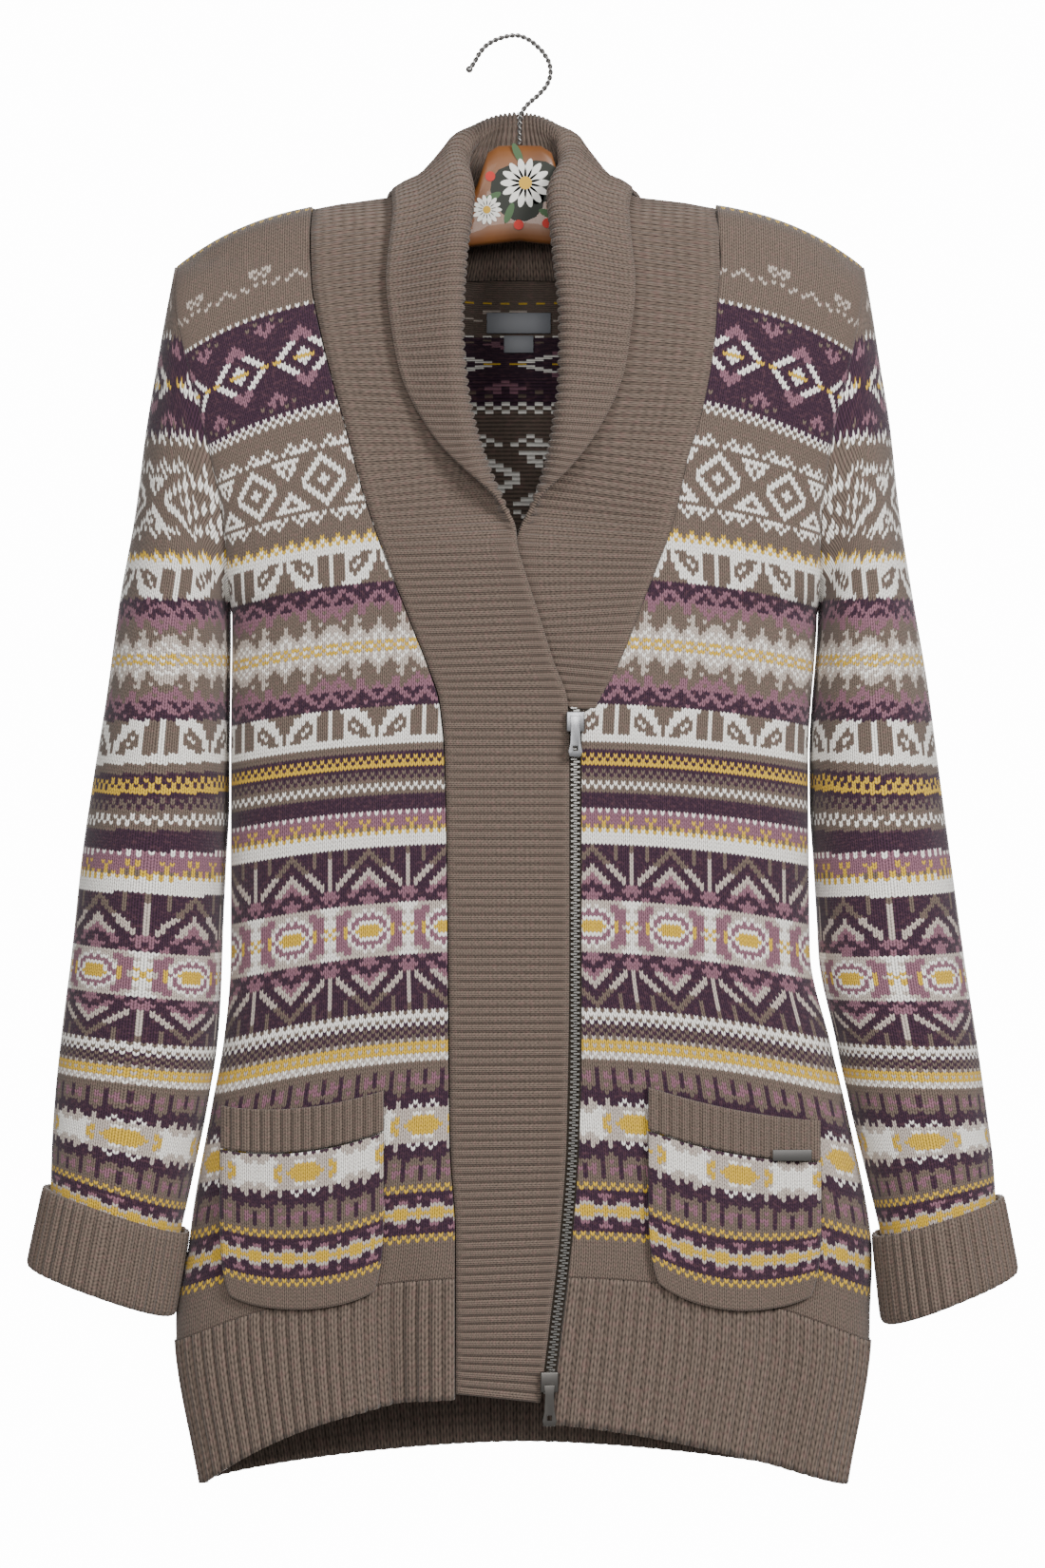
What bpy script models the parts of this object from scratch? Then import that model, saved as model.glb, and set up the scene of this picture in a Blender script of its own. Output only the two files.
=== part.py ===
"""Long knitted cardigan with a ribbed shawl collar and an off-centre zip, on a wooden hanger.

Sizes are in millimetres and are scaled to metres as each mesh is made.
+X is the viewer's right, +Z is up, and the front faces -Y.
The origin is the underside of the hanger's hook, where it rests on a rod.
"Right" and "left" in the names are the wearer's, so the wearer's right is at -X.
"""
import math

import bmesh
import bpy
import numpy as np
from mathutils import Vector

MM = 0.001
WALL = 2.6               # thickness of the knit, and of the ribbed knit between its ribs
SEAM = 0.7               # gap between two panels at a seam
CLEAR = 0.6              # gap between layers that lie on each other
RIB_HEIGHT = 1.1
COLLAR_RIB = 4.9
COLLAR_STEP = 10.0

ARMHOLE_TOP = -138.0
ARMHOLE_BOTTOM = -342.0
ARMHOLE_DEPTH = 47.0
SHOULDER_ROUND = 22.0    # height over which the cloth rounds off the hanger
SECTION_POWER = 3.0      # how square the body's section is

# Body sections from the shoulder to the hem.
BODY = {
    "z":      (-90, -138, -154, -172, -200, -234, -268, -297, -342, -433, -547, -604, -638, -718, -769, -868),
    "centre": (0.5, 0.5, 0.3, -0.2, 0.0, 0.2, 1.4, 2.3, 3.5, 0.5, 1.0, 5.0, 6.0, 7.0, 2.5, 2.9),
    "half":   (204.5, 204.5, 203, 200.4, 194, 185.5, 178.7, 174.5, 174.0, 171.5, 172, 180.7, 188, 202.6, 206.5, 191.5),
    "front":  (24, 34, 38, 42, 47, 51, 54, 56, 58, 58, 58, 56, 54, 52, 50, 47),
    "back":   (24, 36, 37, 38, 40, 43, 46, 48, 50, 50, 50, 49, 48, 47, 46, 45),
}
# Knit courses: height at the body's centre, how far they drop to the side seams, and how late.
COURSE = {
    "v":      (0.0, 0.18, 0.36, 0.53, 0.79, 1.0),
    "centre": (-97, -200, -326, -433, -603.5, -737),
    "drop":   (41, 36, 16, 13, 24.5, 43),
    "power":  (4.0, 2.5, 2.5, 2.5, 2.5, 2.5),
}
HEM = {                  # lower edge of each ribbed hem, as for the courses
    "right": (-808, 57, 2.4),
    "left":  (-823, 42, 1.6),
    "back":  (-849, 18, 1.6),
}
# Seam between each front and the collar, and the zip edge below it.
RIGHT_SEAM = {
    "z": (-95, -120, -149, -183.5, -210, -240, -277, -316, -356, -382, -400, -428, -489, -545, -657, -713, -830),
    "x": (-123, -123.5, -122.4, -116.2, -109.5, -101.1, -91.1, -77.6, -62.0, -51.9, -46.3, -43.5, -41.9, -41.3,
          -40.2, -37.0, -37.0),
}
LEFT_SEAM = {
    "z": (-95, -120, -135, -162, -189, -210, -235, -258, -277, -298, -320.5, -346, -368, -389, -400),
    "x": (117.5, 118.1, 119.2, 117, 114.8, 111.4, 105.8, 98.4, 94.6, 89.0, 80.6, 70.6, 62.2, 52.1, 45.0),
}
ZIP = {"z": (-395, -500, -600, -656, -711, -767, -800, -830), "x": (33.2, 33.2, 33.2, 32.0, 28.2, 21.8, 17.9, 15.0)}
ZIP_TOP = -402.0
ZIP_BOTTOM = -806.0
CHAIN_WIDTH = 5.8
TAPE_WIDTH = 26.0


def track(table, key, column, at):
    """Read a table's column at a key with a smooth curve through its rows."""
    keys = np.array(table[key], float)
    values = np.array(table[column], float)
    if keys[0] > keys[-1]:
        keys, values = keys[::-1], values[::-1]
    at = min(max(at, keys[0]), keys[-1])
    i = int(min(max(np.searchsorted(keys, at, side="right") - 1, 0), len(keys) - 2))
    slopes = np.diff(values) / np.diff(keys)

    def tangent(k):
        if k == 0 or k == len(keys) - 1:
            return slopes[min(k, len(slopes) - 1)]
        before, after = slopes[k - 1], slopes[k]
        return 0.0 if before * after <= 0 else 2 * before * after / (before + after)

    step = keys[i + 1] - keys[i]
    t = (at - keys[i]) / step
    rise = values[i + 1] - values[i]
    a, b = tangent(i) * step, tangent(i + 1) * step
    return values[i] + t * (a + t * (3 * rise - 2 * a - b + t * (a + b - 2 * rise)))


def shoulder(x):
    """Height of the shoulder line that the hanger holds up."""
    reach = min(abs(x - 0.5) / 204.5, 1.05)
    return COURSE["centre"][0] - COURSE["drop"][0] * reach ** COURSE["power"][0]


def armhole_depth(z):
    """Half the front-to-back opening of the armhole at a height."""
    middle = (ARMHOLE_TOP + ARMHOLE_BOTTOM) / 2
    part = abs(z - middle) / ((ARMHOLE_TOP - ARMHOLE_BOTTOM) / 2)
    return ARMHOLE_DEPTH * max(0.0, 1 - part ** 2.2) ** (1 / 2.2)


def body_y(x, z, side):
    """Depth of the middle of the body's cloth; side is -1 for the front and 1 for the back."""
    u = min(abs(x - track(BODY, "z", "centre", z)) / track(BODY, "z", "half", z), 1.0)
    full = track(BODY, "z", "front" if side < 0 else "back", z)
    edge = min(armhole_depth(z), full)
    depth = edge + (full - edge) * (1 - u ** SECTION_POWER) ** (1 / SECTION_POWER)
    below = min(max((shoulder(x) - z) / SHOULDER_ROUND, 0.0), 1.0)
    fold = 0.0
    if side < 0:
        for at, width, deep, top in ((-72.0, 16.0, 13.0, -650.0), (150.0, 18.0, 4.0, -560.0)):
            low = min(max((top - z) / 160.0, 0.0), 1.0)
            fold += deep * low * low * math.exp(-((x - at) / width) ** 2)
    return side * (depth * math.sqrt(1 - (1 - below) ** 2) - fold)


def parting(x, z):
    """Half the gap between front and back, wider where both round over the shoulder."""
    below = min(max((shoulder(x) - z) / SHOULDER_ROUND, 0.0), 1.0)
    return SEAM / 2 + 1.0 * (1 - below) ** 2


def course_z(v, u, hem=None):
    """Height of a knit course; v runs from the shoulder (0) to the hem seam (1) and on to the edge (2)."""
    row = min(v, 1.0)
    centre, drop, power = (track(COURSE, "v", name, row) for name in ("centre", "drop", "power"))
    if v > 1:
        low_centre, low_drop, low_power = HEM[hem]
        k = v - 1
        centre += (low_centre - centre) * k
        drop += (low_drop - drop) * k
        power += (low_power - power) * k
    return centre - drop * abs(u) ** power


def side_x(z, way, inset=0.0):
    return track(BODY, "z", "centre", z) + way * (track(BODY, "z", "half", z) - inset)


def section_arc():
    """Even steps round a quarter of a typical section: how far out each is, and the way along to it."""
    angles = np.linspace(0, math.pi / 2, 721)
    power = 2 / SECTION_POWER
    out, deep = np.sin(angles) ** power, np.cos(angles) ** power
    lengths = np.hypot(np.diff(out) * 190, np.diff(deep) * 50)
    along = np.concatenate(([0.0], np.cumsum(lengths)))
    return out, along / along[-1]


ARC_OUT, ARC_ALONG = section_arc()


def spread(first, last, t):
    """How far out across a half section, in even steps of cloth between two such places."""
    start, end = np.interp((first, last), ARC_OUT, ARC_ALONG)
    return float(np.interp(start + (end - start) * t, ARC_ALONG, ARC_OUT))


def front_point(u, v, way, hem):
    """Point of a front: u runs from the collar seam or zip (0) to the side (1)."""
    z_side = course_z(v, 1.0, hem)
    z_inner = course_z(v, 0.3, hem)
    seam = RIGHT_SEAM
    for _ in range(6):
        if way < 0:
            x_inner = track(seam, "z", "x", z_inner) - SEAM / 2
        elif z_inner > ZIP_TOP:
            x_inner = track(LEFT_SEAM, "z", "x", z_inner) + SEAM / 2
        else:
            x_inner = track(ZIP, "z", "x", z_inner) + CHAIN_WIDTH / 2 + 0.7
        centre, half = track(BODY, "z", "centre", z_inner), track(BODY, "z", "half", z_inner)
        reach = abs(x_inner - centre) / half
        z_inner = course_z(v, reach, hem)
    z = z_inner + (z_side - z_inner) * u
    for _ in range(6):
        centre, half = track(BODY, "z", "centre", z), track(BODY, "z", "half", z)
        part = spread(reach, 1.0, u)
        z = course_z(v, part, hem)
    x = centre + way * half * part
    return Vector((x, body_y(x, z, -1) - parting(x, z), z))


def back_point(u, v):
    """Point of the back: u runs from the wearer's right side (-1) to the left side (1)."""
    part = spread(0.0, 1.0, abs(u))
    z = course_z(v, part, "back")
    neck = neck_z(part)
    if neck is not None and v < 0.18:
        low = course_z(0.18, part)
        z = neck + (low - neck) * v / 0.18
    half, centre = track(BODY, "z", "half", z), track(BODY, "z", "centre", z)
    x = centre + math.copysign(half * part, u) if u else centre
    return Vector((x, body_y(x, z, 1) + parting(x, z), z))


NECK_HALF = 123.0
NECK_DEPTH = 38.0


def neck_z(part):
    """Height of the back's neck seam, or None outside the neck."""
    x = part * 205
    if x >= NECK_HALF:
        return None
    return shoulder(NECK_HALF) - NECK_DEPTH * (1 - (x / NECK_HALF) ** 2.6)


# ---------------------------------------------------------------- solids

def material(name, colour, roughness, metallic=0.0):
    made = bpy.data.materials.new(name)
    made.use_nodes = True
    shader = made.node_tree.nodes["Principled BSDF"]
    shader.inputs["Base Color"].default_value = (*colour, 1)
    shader.inputs["Roughness"].default_value = roughness
    shader.inputs["Metallic"].default_value = metallic
    return made


TAUPE = (0.16, 0.12, 0.09)
JACQUARD = (0.22, 0.13, 0.15)
GUNMETAL = (0.09, 0.085, 0.08)


def finish(name, mesh_data, colour, roughness=0.9, metallic=0.0, smooth=40):
    """Turn a bmesh in millimetres into a named object in metres."""
    bmesh.ops.scale(mesh_data, vec=(MM, MM, MM), verts=mesh_data.verts)
    bmesh.ops.triangulate(mesh_data, faces=mesh_data.faces)
    bmesh.ops.recalc_face_normals(mesh_data, faces=mesh_data.faces)
    mesh = bpy.data.meshes.new(name)
    mesh_data.to_mesh(mesh)
    mesh_data.free()
    mesh.shade_smooth()
    mesh.set_sharp_from_angle(angle=math.radians(smooth))
    made = bpy.data.objects.new(name, mesh)
    bpy.context.scene.collection.objects.link(made)
    mesh.materials.append(material(name, colour, roughness, metallic))
    return made


def bridge(bm, first, second, first_at=None, second_at=None):
    """Close the strip between two rows of points, which may differ in number, in the order of their places."""
    first_at = first_at or stops((0, 1), len(first) - 1)
    second_at = second_at or stops((0, 1), len(second) - 1)
    i, j = 0, 0
    while i < len(first) - 1 or j < len(second) - 1:
        if j == len(second) - 1 or (i < len(first) - 1 and first_at[i + 1] <= second_at[j + 1] + 1e-6):
            bm.faces.new((first[i], first[i + 1], second[j]))
            i += 1
        else:
            bm.faces.new((first[i], second[j + 1], second[j]))
            j += 1


def split_quad(bm, a, b, c, d):
    """Two triangles split the same way on both sides of a wall, so that a twisted wall keeps its thickness."""
    bm.faces.new((a, b, c))
    bm.faces.new((a, c, d))


def grid(bm, points):
    """Add a grid of points with its faces and return its vertices row by row."""
    rows = [[bm.verts.new(p) for p in row] for row in points]
    for upper, lower in zip(rows, rows[1:]):
        for k in range(len(upper) - 1):
            split_quad(bm, upper[k], upper[k + 1], lower[k + 1], lower[k])
    return rows


def normal_at(surface, u, v, share=0.003):
    """Unit normal of a surface by differences, kept inside its edges."""
    step_u, step_v = (share * (span[1] - span[0]) for span in (surface.u, surface.v))
    low_u, high_u = max(u - step_u, surface.u[0]), min(u + step_u, surface.u[1])
    low_v, high_v = max(v - step_v, surface.v[0]), min(v + step_v, surface.v[1])
    across = surface.point(high_u, v) - surface.point(low_u, v)
    down = surface.point(u, high_v) - surface.point(u, low_v)
    return across.cross(down).normalized() * surface.out


class Surface:
    """A middle surface of cloth: point(u, v) over the ranges u and v; out turns its normal outwards."""

    def __init__(self, point, u, v, out):
        self.point, self.u, self.v, self.out = point, u, v, out

    def offset(self, u, v, distance):
        return self.point(u, v) + normal_at(self, u, v) * distance


def stops(span, count):
    return [span[0] + (span[1] - span[0]) * k / count for k in range(count + 1)]


def shell(name, surface, across, down, inner_across, inner_down, colour, rib=None, inner_rib=None):
    """A wall of cloth between an outer and an inner grid of points, either of which ribs may raise."""
    bm = bmesh.new()
    half = WALL / 2
    outer = grid(bm, [[surface.offset(u, v, half + (rib(u, v) if rib else 0)) for u in across] for v in down])
    inner = grid(bm, [[surface.offset(u, v, -half - (inner_rib(u, v) if inner_rib else 0)) for u in inner_across]
                      for v in inner_down])
    bridge(bm, outer[0], inner[0], across, inner_across)
    bridge(bm, outer[-1], inner[-1], across, inner_across)
    bridge(bm, [row[0] for row in outer], [row[0] for row in inner], down, inner_down)
    bridge(bm, [row[-1] for row in outer], [row[-1] for row in inner], down, inner_down)
    return finish(name, bm, colour)


def closed_grid(bm, points):
    """Add rings of points with the faces between them; each ring closes on itself."""
    rows = [[bm.verts.new(p) for p in row] for row in points]
    for upper, lower in zip(rows, rows[1:]):
        for k in range(len(upper)):
            n = (k + 1) % len(upper)
            split_quad(bm, upper[k], upper[n], lower[n], lower[k])
    return rows


def ring_bridge(bm, first, second):
    bridge(bm, first + first[:1], second + second[:1])


# ---------------------------------------------------------------- body

PANEL_ROWS = [0.0, 0.008, 0.025, 0.05, 0.09, 0.135, 0.18, 0.23, 0.28, 0.33, 0.38, 0.42, 0.455, 0.485, 0.53, 0.60,
              0.68, 0.76, 0.84, 0.92, 0.994]
BACK_ROWS = [0.0, 0.008, 0.025, 0.05, 0.09, 0.135, 0.18, 0.24, 0.30, 0.38, 0.50, 0.65, 0.82, 0.994]
BACK_HALF = (0.14, 0.28, 0.37, 0.42, 0.46, 0.50, 0.54, 0.61, 0.74, 0.87, 0.994)


def front(name, way, hem):
    surface = Surface(lambda u, v: front_point(u, v, way, hem), (0, 1), (0, 1), -way)
    columns = stops((0, 0.994), 8)
    return shell(name, surface, columns, PANEL_ROWS, columns, PANEL_ROWS, JACQUARD)


def back(name):
    surface = Surface(back_point, (-1, 1), (0, 1), 1)
    columns = [-u for u in reversed(BACK_HALF)] + [0.0] + list(BACK_HALF)
    return shell(name, surface, columns, BACK_ROWS, columns, BACK_ROWS, JACQUARD)


RIB_MARKS = (0.0, 0.3, 0.7)        # places of a rib's points in its pitch; the last two are raised


def ribbed_columns(span, count):
    """Three stops for each rib: its valley and the two edges of its top."""
    marks = []
    for k in range(count):
        for part in RIB_MARKS:
            marks.append(span[0] + (span[1] - span[0]) * (k + part) / count)
    return marks + [span[1]]


def rib_height(span, count, height):
    def raised(u, _v):
        part = ((u - span[0]) / (span[1] - span[0]) * count) % 1.0
        return height if 0.2 < part < 0.8 else 0.0
    return raised


def hem(name, surface, span, count, rows):
    """A ribbed hem, whose inside has one stop for each rib."""
    return shell(name, surface, ribbed_columns(span, count), rows, stops(span, count), rows, TAUPE,
                 rib_height(span, count, RIB_HEIGHT))


def build_body():
    front("front_right", -1, "right")
    front("front_left", 1, "left")
    back("back")
    for name, way, edge in (("hem_front_right", -1, "right"), ("hem_front_left", 1, "left")):
        surface = Surface(lambda u, v, way=way, edge=edge: front_point(u, v, way, edge), (0, 1), (1, 2), -way)
        hem(name, surface, (0, 0.994), 25, (1.006, 1.35, 2.0))
    hem("hem_back", Surface(back_point, (-1, 1), (1, 2), 1), (-0.994, 0.994), 56, (1.006, 2.0))


# ---------------------------------------------------------------- sleeves

# Rings of each sleeve: outer edge, height of the edge beside the body and how far it clears the body,
# half the depth from front to back, and how far the ring sits back.
SLEEVE = {
    "right": {
        "s":       (0, 0.04, 0.10, 0.18, 0.26, 0.34, 0.44, 0.52, 0.60, 0.70, 0.80, 0.88, 0.95, 1.0),
        "outer_x": (-204.5, -210.5, -214.5, -221.5, -228.0, -237, -246, -253.5, -260, -266, -271.5, -275.5, -277.3, -278.0),
        "outer_z": (-138, -170, -193, -235, -285, -335, -399, -445, -490, -547, -593, -633, -665, -694),
        "clear":   (1.0, 3.6, 3.8, 3.8, 3.8, 3.8, 3.8, 3.9, 6.0, 8.0, 6.2, 5.0, 5.8, 8.5),
        "inner_z": (-342, -343, -345, -349, -356, -372, -415, -455, -498, -555, -602, -645, -686, -722),
        "depth":   (47, 48, 48, 48, 48, 48, 47, 46, 44, 41, 37, 33, 30, 28),
        "shift":   (0, 0, 0, 0, 0, 0, 0, 0, -1, -3, -6, -9, -11, -12),
    },
    "left": {
        "s":       (0, 0.04, 0.10, 0.18, 0.26, 0.34, 0.44, 0.52, 0.60, 0.70, 0.80, 0.88, 0.95, 1.0),
        "outer_x": (205.5, 211, 214.5, 221, 226.5, 233.5, 243.5, 249.5, 257, 265.5, 273, 278.5, 282, 283.5),
        "outer_z": (-140, -172, -194, -235, -285, -330, -388, -433, -490, -553, -604, -645, -674, -700),
        "clear":   (1.0, 3.6, 3.8, 3.8, 3.8, 3.8, 3.8, 3.9, 6.0, 8.0, 6.2, 5.0, 5.8, 8.5),
        "inner_z": (-342, -343, -345, -349, -356, -372, -415, -455, -498, -555, -602, -645, -686, -722),
        "depth":   (47, 48, 48, 48, 48, 48, 47, 46, 44, 41, 37, 33, 30, 28),
        "shift":   (0, 0, 0, 0, 0, 0, 0, 0, -1, -3, -6, -9, -11, -12),
    },
}
SLEEVE_BLEND = 0.16
TUBE_POWER = 2.3
CUFF_RIBS = 36
CUFF = {      # middle of the turned-up cuff's ring: outer and inner edge at its top and its fold
    "right": {"s": (0, 1), "outer_x": (-277.5, -287.5), "outer_z": (-688, -735),
              "inner_x": (-202.5, -210.5), "inner_z": (-714, -763)},
    "left": {"s": (0, 1), "outer_x": (283.5, 292.0), "outer_z": (-694, -739),
             "inner_x": (217.0, 222.5), "inner_z": (-716, -768)},
}
CUFF_DEPTH = (29.0, 31.0)
CUFF_SHIFT = -12.0
CUFF_LAYER = 2.4


def squared(value, power):
    return math.copysign(abs(value) ** (2 / power), value)


def sleeve_tube(phi, s, hand):
    """Point of the sleeve's plain tube, before it is joined to the armhole."""
    table = SLEEVE[hand]
    way = -1 if hand == "right" else 1
    row = {name: track(table, "s", name, s) for name in table if name != "s"}
    inner_x = side_x(row["inner_z"], way) + way * row["clear"]
    c, d = squared(math.cos(phi), TUBE_POWER), squared(math.sin(phi), TUBE_POWER)
    mid_x, half_x = (row["outer_x"] + inner_x) / 2, (row["outer_x"] - inner_x) / 2
    mid_z, half_z = (row["outer_z"] + row["inner_z"]) / 2, (row["outer_z"] - row["inner_z"]) / 2
    return Vector((mid_x + half_x * c, row["shift"] - row["depth"] * d, mid_z + half_z * c))


def sleeve_point(phi, s, hand):
    """Point of a sleeve: phi goes round from the shoulder (0) by the front, s down from the armhole."""
    tube = sleeve_tube(phi, s, hand)
    if s >= SLEEVE_BLEND:
        return tube
    way = -1 if hand == "right" else 1
    middle = (ARMHOLE_TOP + ARMHOLE_BOTTOM) / 2
    z = middle + (ARMHOLE_TOP - ARMHOLE_BOTTOM) / 2 * squared(math.cos(phi), TUBE_POWER)
    side = -1 if math.sin(phi) >= 0 else 1
    under = ((1 - math.cos(phi)) / 2) ** 4
    away = 1.4 + 2.4 * under + 1.2 * math.sin(phi) ** 2 + 1.8 * max(math.cos(phi), 0.0) ** 0.5
    loop = Vector((side_x(z, way) + way * away, side * armhole_depth(z), z))
    k = s / SLEEVE_BLEND
    return tube + (loop - sleeve_tube(phi, 0.0, hand)) * (1 - k * k * (3 - 2 * k))


def cuff_point(phi, s, hand):
    table = CUFF[hand]
    row = {name: table[name][0] + (table[name][1] - table[name][0]) * s for name in table if name != "s"}
    depth = CUFF_DEPTH[0] + (CUFF_DEPTH[1] - CUFF_DEPTH[0]) * s
    c, d = squared(math.cos(phi), TUBE_POWER), squared(math.sin(phi), TUBE_POWER)
    mid_x, half_x = (row["outer_x"] + row["inner_x"]) / 2, (row["outer_x"] - row["inner_x"]) / 2
    mid_z, half_z = (row["outer_z"] + row["inner_z"]) / 2, (row["outer_z"] - row["inner_z"]) / 2
    return Vector((mid_x + half_x * c, CUFF_SHIFT - depth * d, mid_z + half_z * c))


def ring(surface, count, s, distance, rib=None):
    points = []
    for k in range(count):
        phi = 2 * math.pi * k / count
        raised = rib(k) if rib else 0.0
        points.append(surface.offset(phi, s, distance + raised))
    return points


def tube_surface(point, hand, span):
    out = -1 if hand == "right" else 1
    return Surface(lambda phi, s: point(phi, s, hand), (-7, 7), span, out)


def sleeve(name, hand):
    bm = bmesh.new()
    surface = tube_surface(sleeve_point, hand, (0, 1))
    levels = [0.0, 0.06] + stops((0.15, 0.995), 7)
    outer = closed_grid(bm, [ring(surface, 24, s, WALL / 2) for s in levels])
    inner = closed_grid(bm, [ring(surface, 24, s, -WALL / 2) for s in levels])
    ring_bridge(bm, outer[0], inner[0])
    ring_bridge(bm, outer[-1], inner[-1])
    return finish(name, bm, JACQUARD)


def cuff(name, hand):
    """A ribbed tube that runs on from the sleeve's end to a fold and turns up outside it."""
    bm = bmesh.new()
    surface = tube_surface(cuff_point, hand, (-0.2, 1.2))
    fine = CUFF_RIBS * 3
    plain = CUFF_RIBS
    join, fold = 0.42, 1.0
    outside = CUFF_LAYER + CLEAR

    def raised(k):
        return RIB_HEIGHT if k % 3 else 0.0

    outer = closed_grid(bm, [ring(surface, fine, s, outside + d, raised)
                             for s, d in ((0.0, CUFF_LAYER), (0.96, CUFF_LAYER))])
    turned = closed_grid(bm, [ring(surface, plain, s, outside) for s in (0.02, 0.93)])
    layer = closed_grid(bm, [ring(surface, plain, s, CUFF_LAYER / 2) for s in (join, 0.93)])
    inside = closed_grid(bm, [ring(surface, plain, s, -CUFF_LAYER / 2) for s in (join, 0.97)])
    round_out = closed_grid(bm, [ring(surface, plain, fold + 0.02, CUFF_LAYER)])[0]
    ring_bridge(bm, outer[0], turned[0])
    ring_bridge(bm, turned[-1], layer[-1])
    ring_bridge(bm, layer[0], inside[0])
    ring_bridge(bm, outer[-1], round_out)
    ring_bridge(bm, round_out, inside[-1])
    return finish(name, bm, TAUPE)


def build_sleeves():
    for hand in ("right", "left"):
        sleeve("sleeve_" + hand, hand)
        cuff("cuff_" + hand, hand)


# ---------------------------------------------------------------- shawl collar

# Stations of the collar from its lower end up to the back of the neck. Each has the seam's place, the line
# where the collar rolls over, the length that curls past it, the roll's radius, how far the layer under it
# sags, and the way it rolls. A lift moves a layer off the body so that one band can lie on the other.
COLLAR_RIGHT = (
    # seam_x, seam_z, side, roll_x, roll_y, roll_z, curl, radius, sag, out_x, out_y, out_z
    (-36.6, -806.0, -1, 12.6, -49.5, -811.0, 0, 6, 0, 0, -1, 0),
    (-36.6, -768.0, -1, 17.9, -51.2, -767.0, 0, 6, 0, 0, -1, 0),
    (-36.6, -713.0, -1, 24.3, -52.7, -711.0, 0, 6, 0, 0, -1, 0),
    (-39.9, -657.0, -1, 28.1, -54.6, -656.0, 0, 6, 0, 0, -1, 0),
    (-40.9, -545.0, -1, 29.7, -58.2, -545.0, 0, 6, 0, 0, -1, 0),
    (-43.1, -428.0, -1, 29.7, -58.4, -428.0, 0, 6, 0, 0, -1, 0),
    (-46.8, -399.0, -1, 28.6, -59.0, -399.0, 0, 6, 0, 0, -1, 0),
    (-54.2, -379.0, -1, 21.0, -60.2, -377.0, 0, 6, 0, 0, -1, 0),
    (-64.2, -352.0, -1, 12.4, -60.8, -350.0, 0, 6, 0, 0, -1, 0),
    (-78.6, -313.0, -1, -0.4, -61.5, -311.0, 1, 10, 0, 0, -1, 0),
    (-85.0, -295.0, -1, -6.5, -61.5, -291.0, 12, 9, 0, 0, -1, 0),
    (-92.4, -273.0, -1, -17.5, -61.0, -265.0, 28, 8, 0, 0, -1, 0),
    (-100.7, -240.0, -1, -25.4, -60.0, -242.0, 42, 7, 0, 0, -1, 0),
    (-109.1, -210.0, -1, -31.5, -58.5, -212.0, 52, 6.5, 0, 0, -1, 0),
    (-116.0, -184.0, -1, -34.0, -57.0, -178.0, 58, 7, 1, 0, -1, 0),
    (-122.0, -149.0, -1, -32.0, -51.0, -136.0, 64, 7, 3, 0, -1, 0.1),
    (-123.0, -118.0, -1, -28.5, -30.0, -98.0, 64, 6.5, 8, -0.1, -0.8, 0.6),
    (-122.6, -101.8, 1, -33.0, 0.0, -72.0, 62, 6, 14, -0.4, 0.0, 1),
    (-117.0, -103.2, 1, -33.0, 4.0, -68.5, 66, 6.3, 14, -0.5, 0.2, 1),
    (-102.0, -114.6, 1, -31.0, 15.0, -57.0, 84, 7, 12, -0.5, 0.5, 0.7),
    (-70.0, -128.8, 1, -24.0, 26.0, -49.0, 104, 8, 6, -0.35, 0.9, 0.3),
    (-34.0, -137.2, 1, -12.0, 31.0, -43.0, 112, 8.5, 2, -0.15, 1, 0.1),
    (-1.0, -138.7, 1, -1.0, 32.0, -41.0, 114, 9, 0, 0, 1, 0),
)
COLLAR_LEFT = (
    # seam_x, seam_z, side, roll_x, roll_y, roll_z, curl, radius, sag, out_x, out_y, out_z
    (45.5, -391.0, -1, 22.0, -54.8, -389.0, 0, 5, 0, 0, -1, 0),
    (51.0, -383.0, -1, 16.0, -54.8, -379.0, 0, 5, 0, 0, -1, 0),
    (69.8, -346.0, -1, 3.0, -54.8, -350.0, 0, 5, 0, 0, -1, 0),
    (81.0, -318.0, -1, -3.0, -55.0, -316.0, 1, 10, 0, 0, -1, 0),
    (88.2, -298.0, -1, 6.0, -55.5, -291.0, 12, 9, 0, 0, -1, 0),
    (94.0, -277.0, -1, 15.5, -56.5, -265.0, 28, 8, 0, 0, -1, 0),
    (103.4, -241.0, -1, 21.5, -57.0, -237.0, 42, 7, 0, 0, -1, 0),
    (110.8, -210.0, -1, 25.0, -56.5, -205.0, 52, 6.5, 0, 0, -1, 0),
    (114.5, -184.0, -1, 25.3, -56.0, -176.0, 58, 7, 1, 0, -1, 0),
    (117.6, -149.0, -1, 22.0, -51.0, -136.0, 64, 7, 3, 0, -1, 0.1),
    (117.6, -118.0, -1, 19.0, -30.0, -98.0, 64, 6.5, 8, 0.1, -0.8, 0.6),
    (116.6, -101.2, 1, 27.0, 0.0, -72.0, 60, 6, 14, 0.4, 0.0, 1),
    (112.0, -103.0, 1, 27.0, 4.0, -68.5, 64, 6.3, 14, 0.5, 0.2, 1),
    (100.0, -115.0, 1, 27.0, 15.0, -57.0, 82, 7, 12, 0.5, 0.5, 0.7),
    (68.0, -129.2, 1, 21.0, 26.0, -49.0, 104, 8, 6, 0.35, 0.9, 0.3),
    (33.0, -137.3, 1, 10.5, 31.0, -43.0, 112, 8.5, 2, 0.15, 1, 0.1),
    (0.0, -138.7, 1, 0.0, 32.0, -41.0, 114, 9, 0, 0, 1, 0),
)
COLLAR_COLUMNS = ("seam_x", "seam_z", "side", "roll_x", "roll_y", "roll_z", "curl", "radius", "sag",
                  "out_x", "out_y", "out_z")
COLLAR_ACROSS = (0.0, 0.02, 0.2, 0.34, 0.45, 0.55, 0.66, 0.98, 1.0)
FLAT_SHARES = (0.0, 0.03, 0.2, 0.36, 0.52, 0.68, 0.84, 0.97, 1.0)
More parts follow.
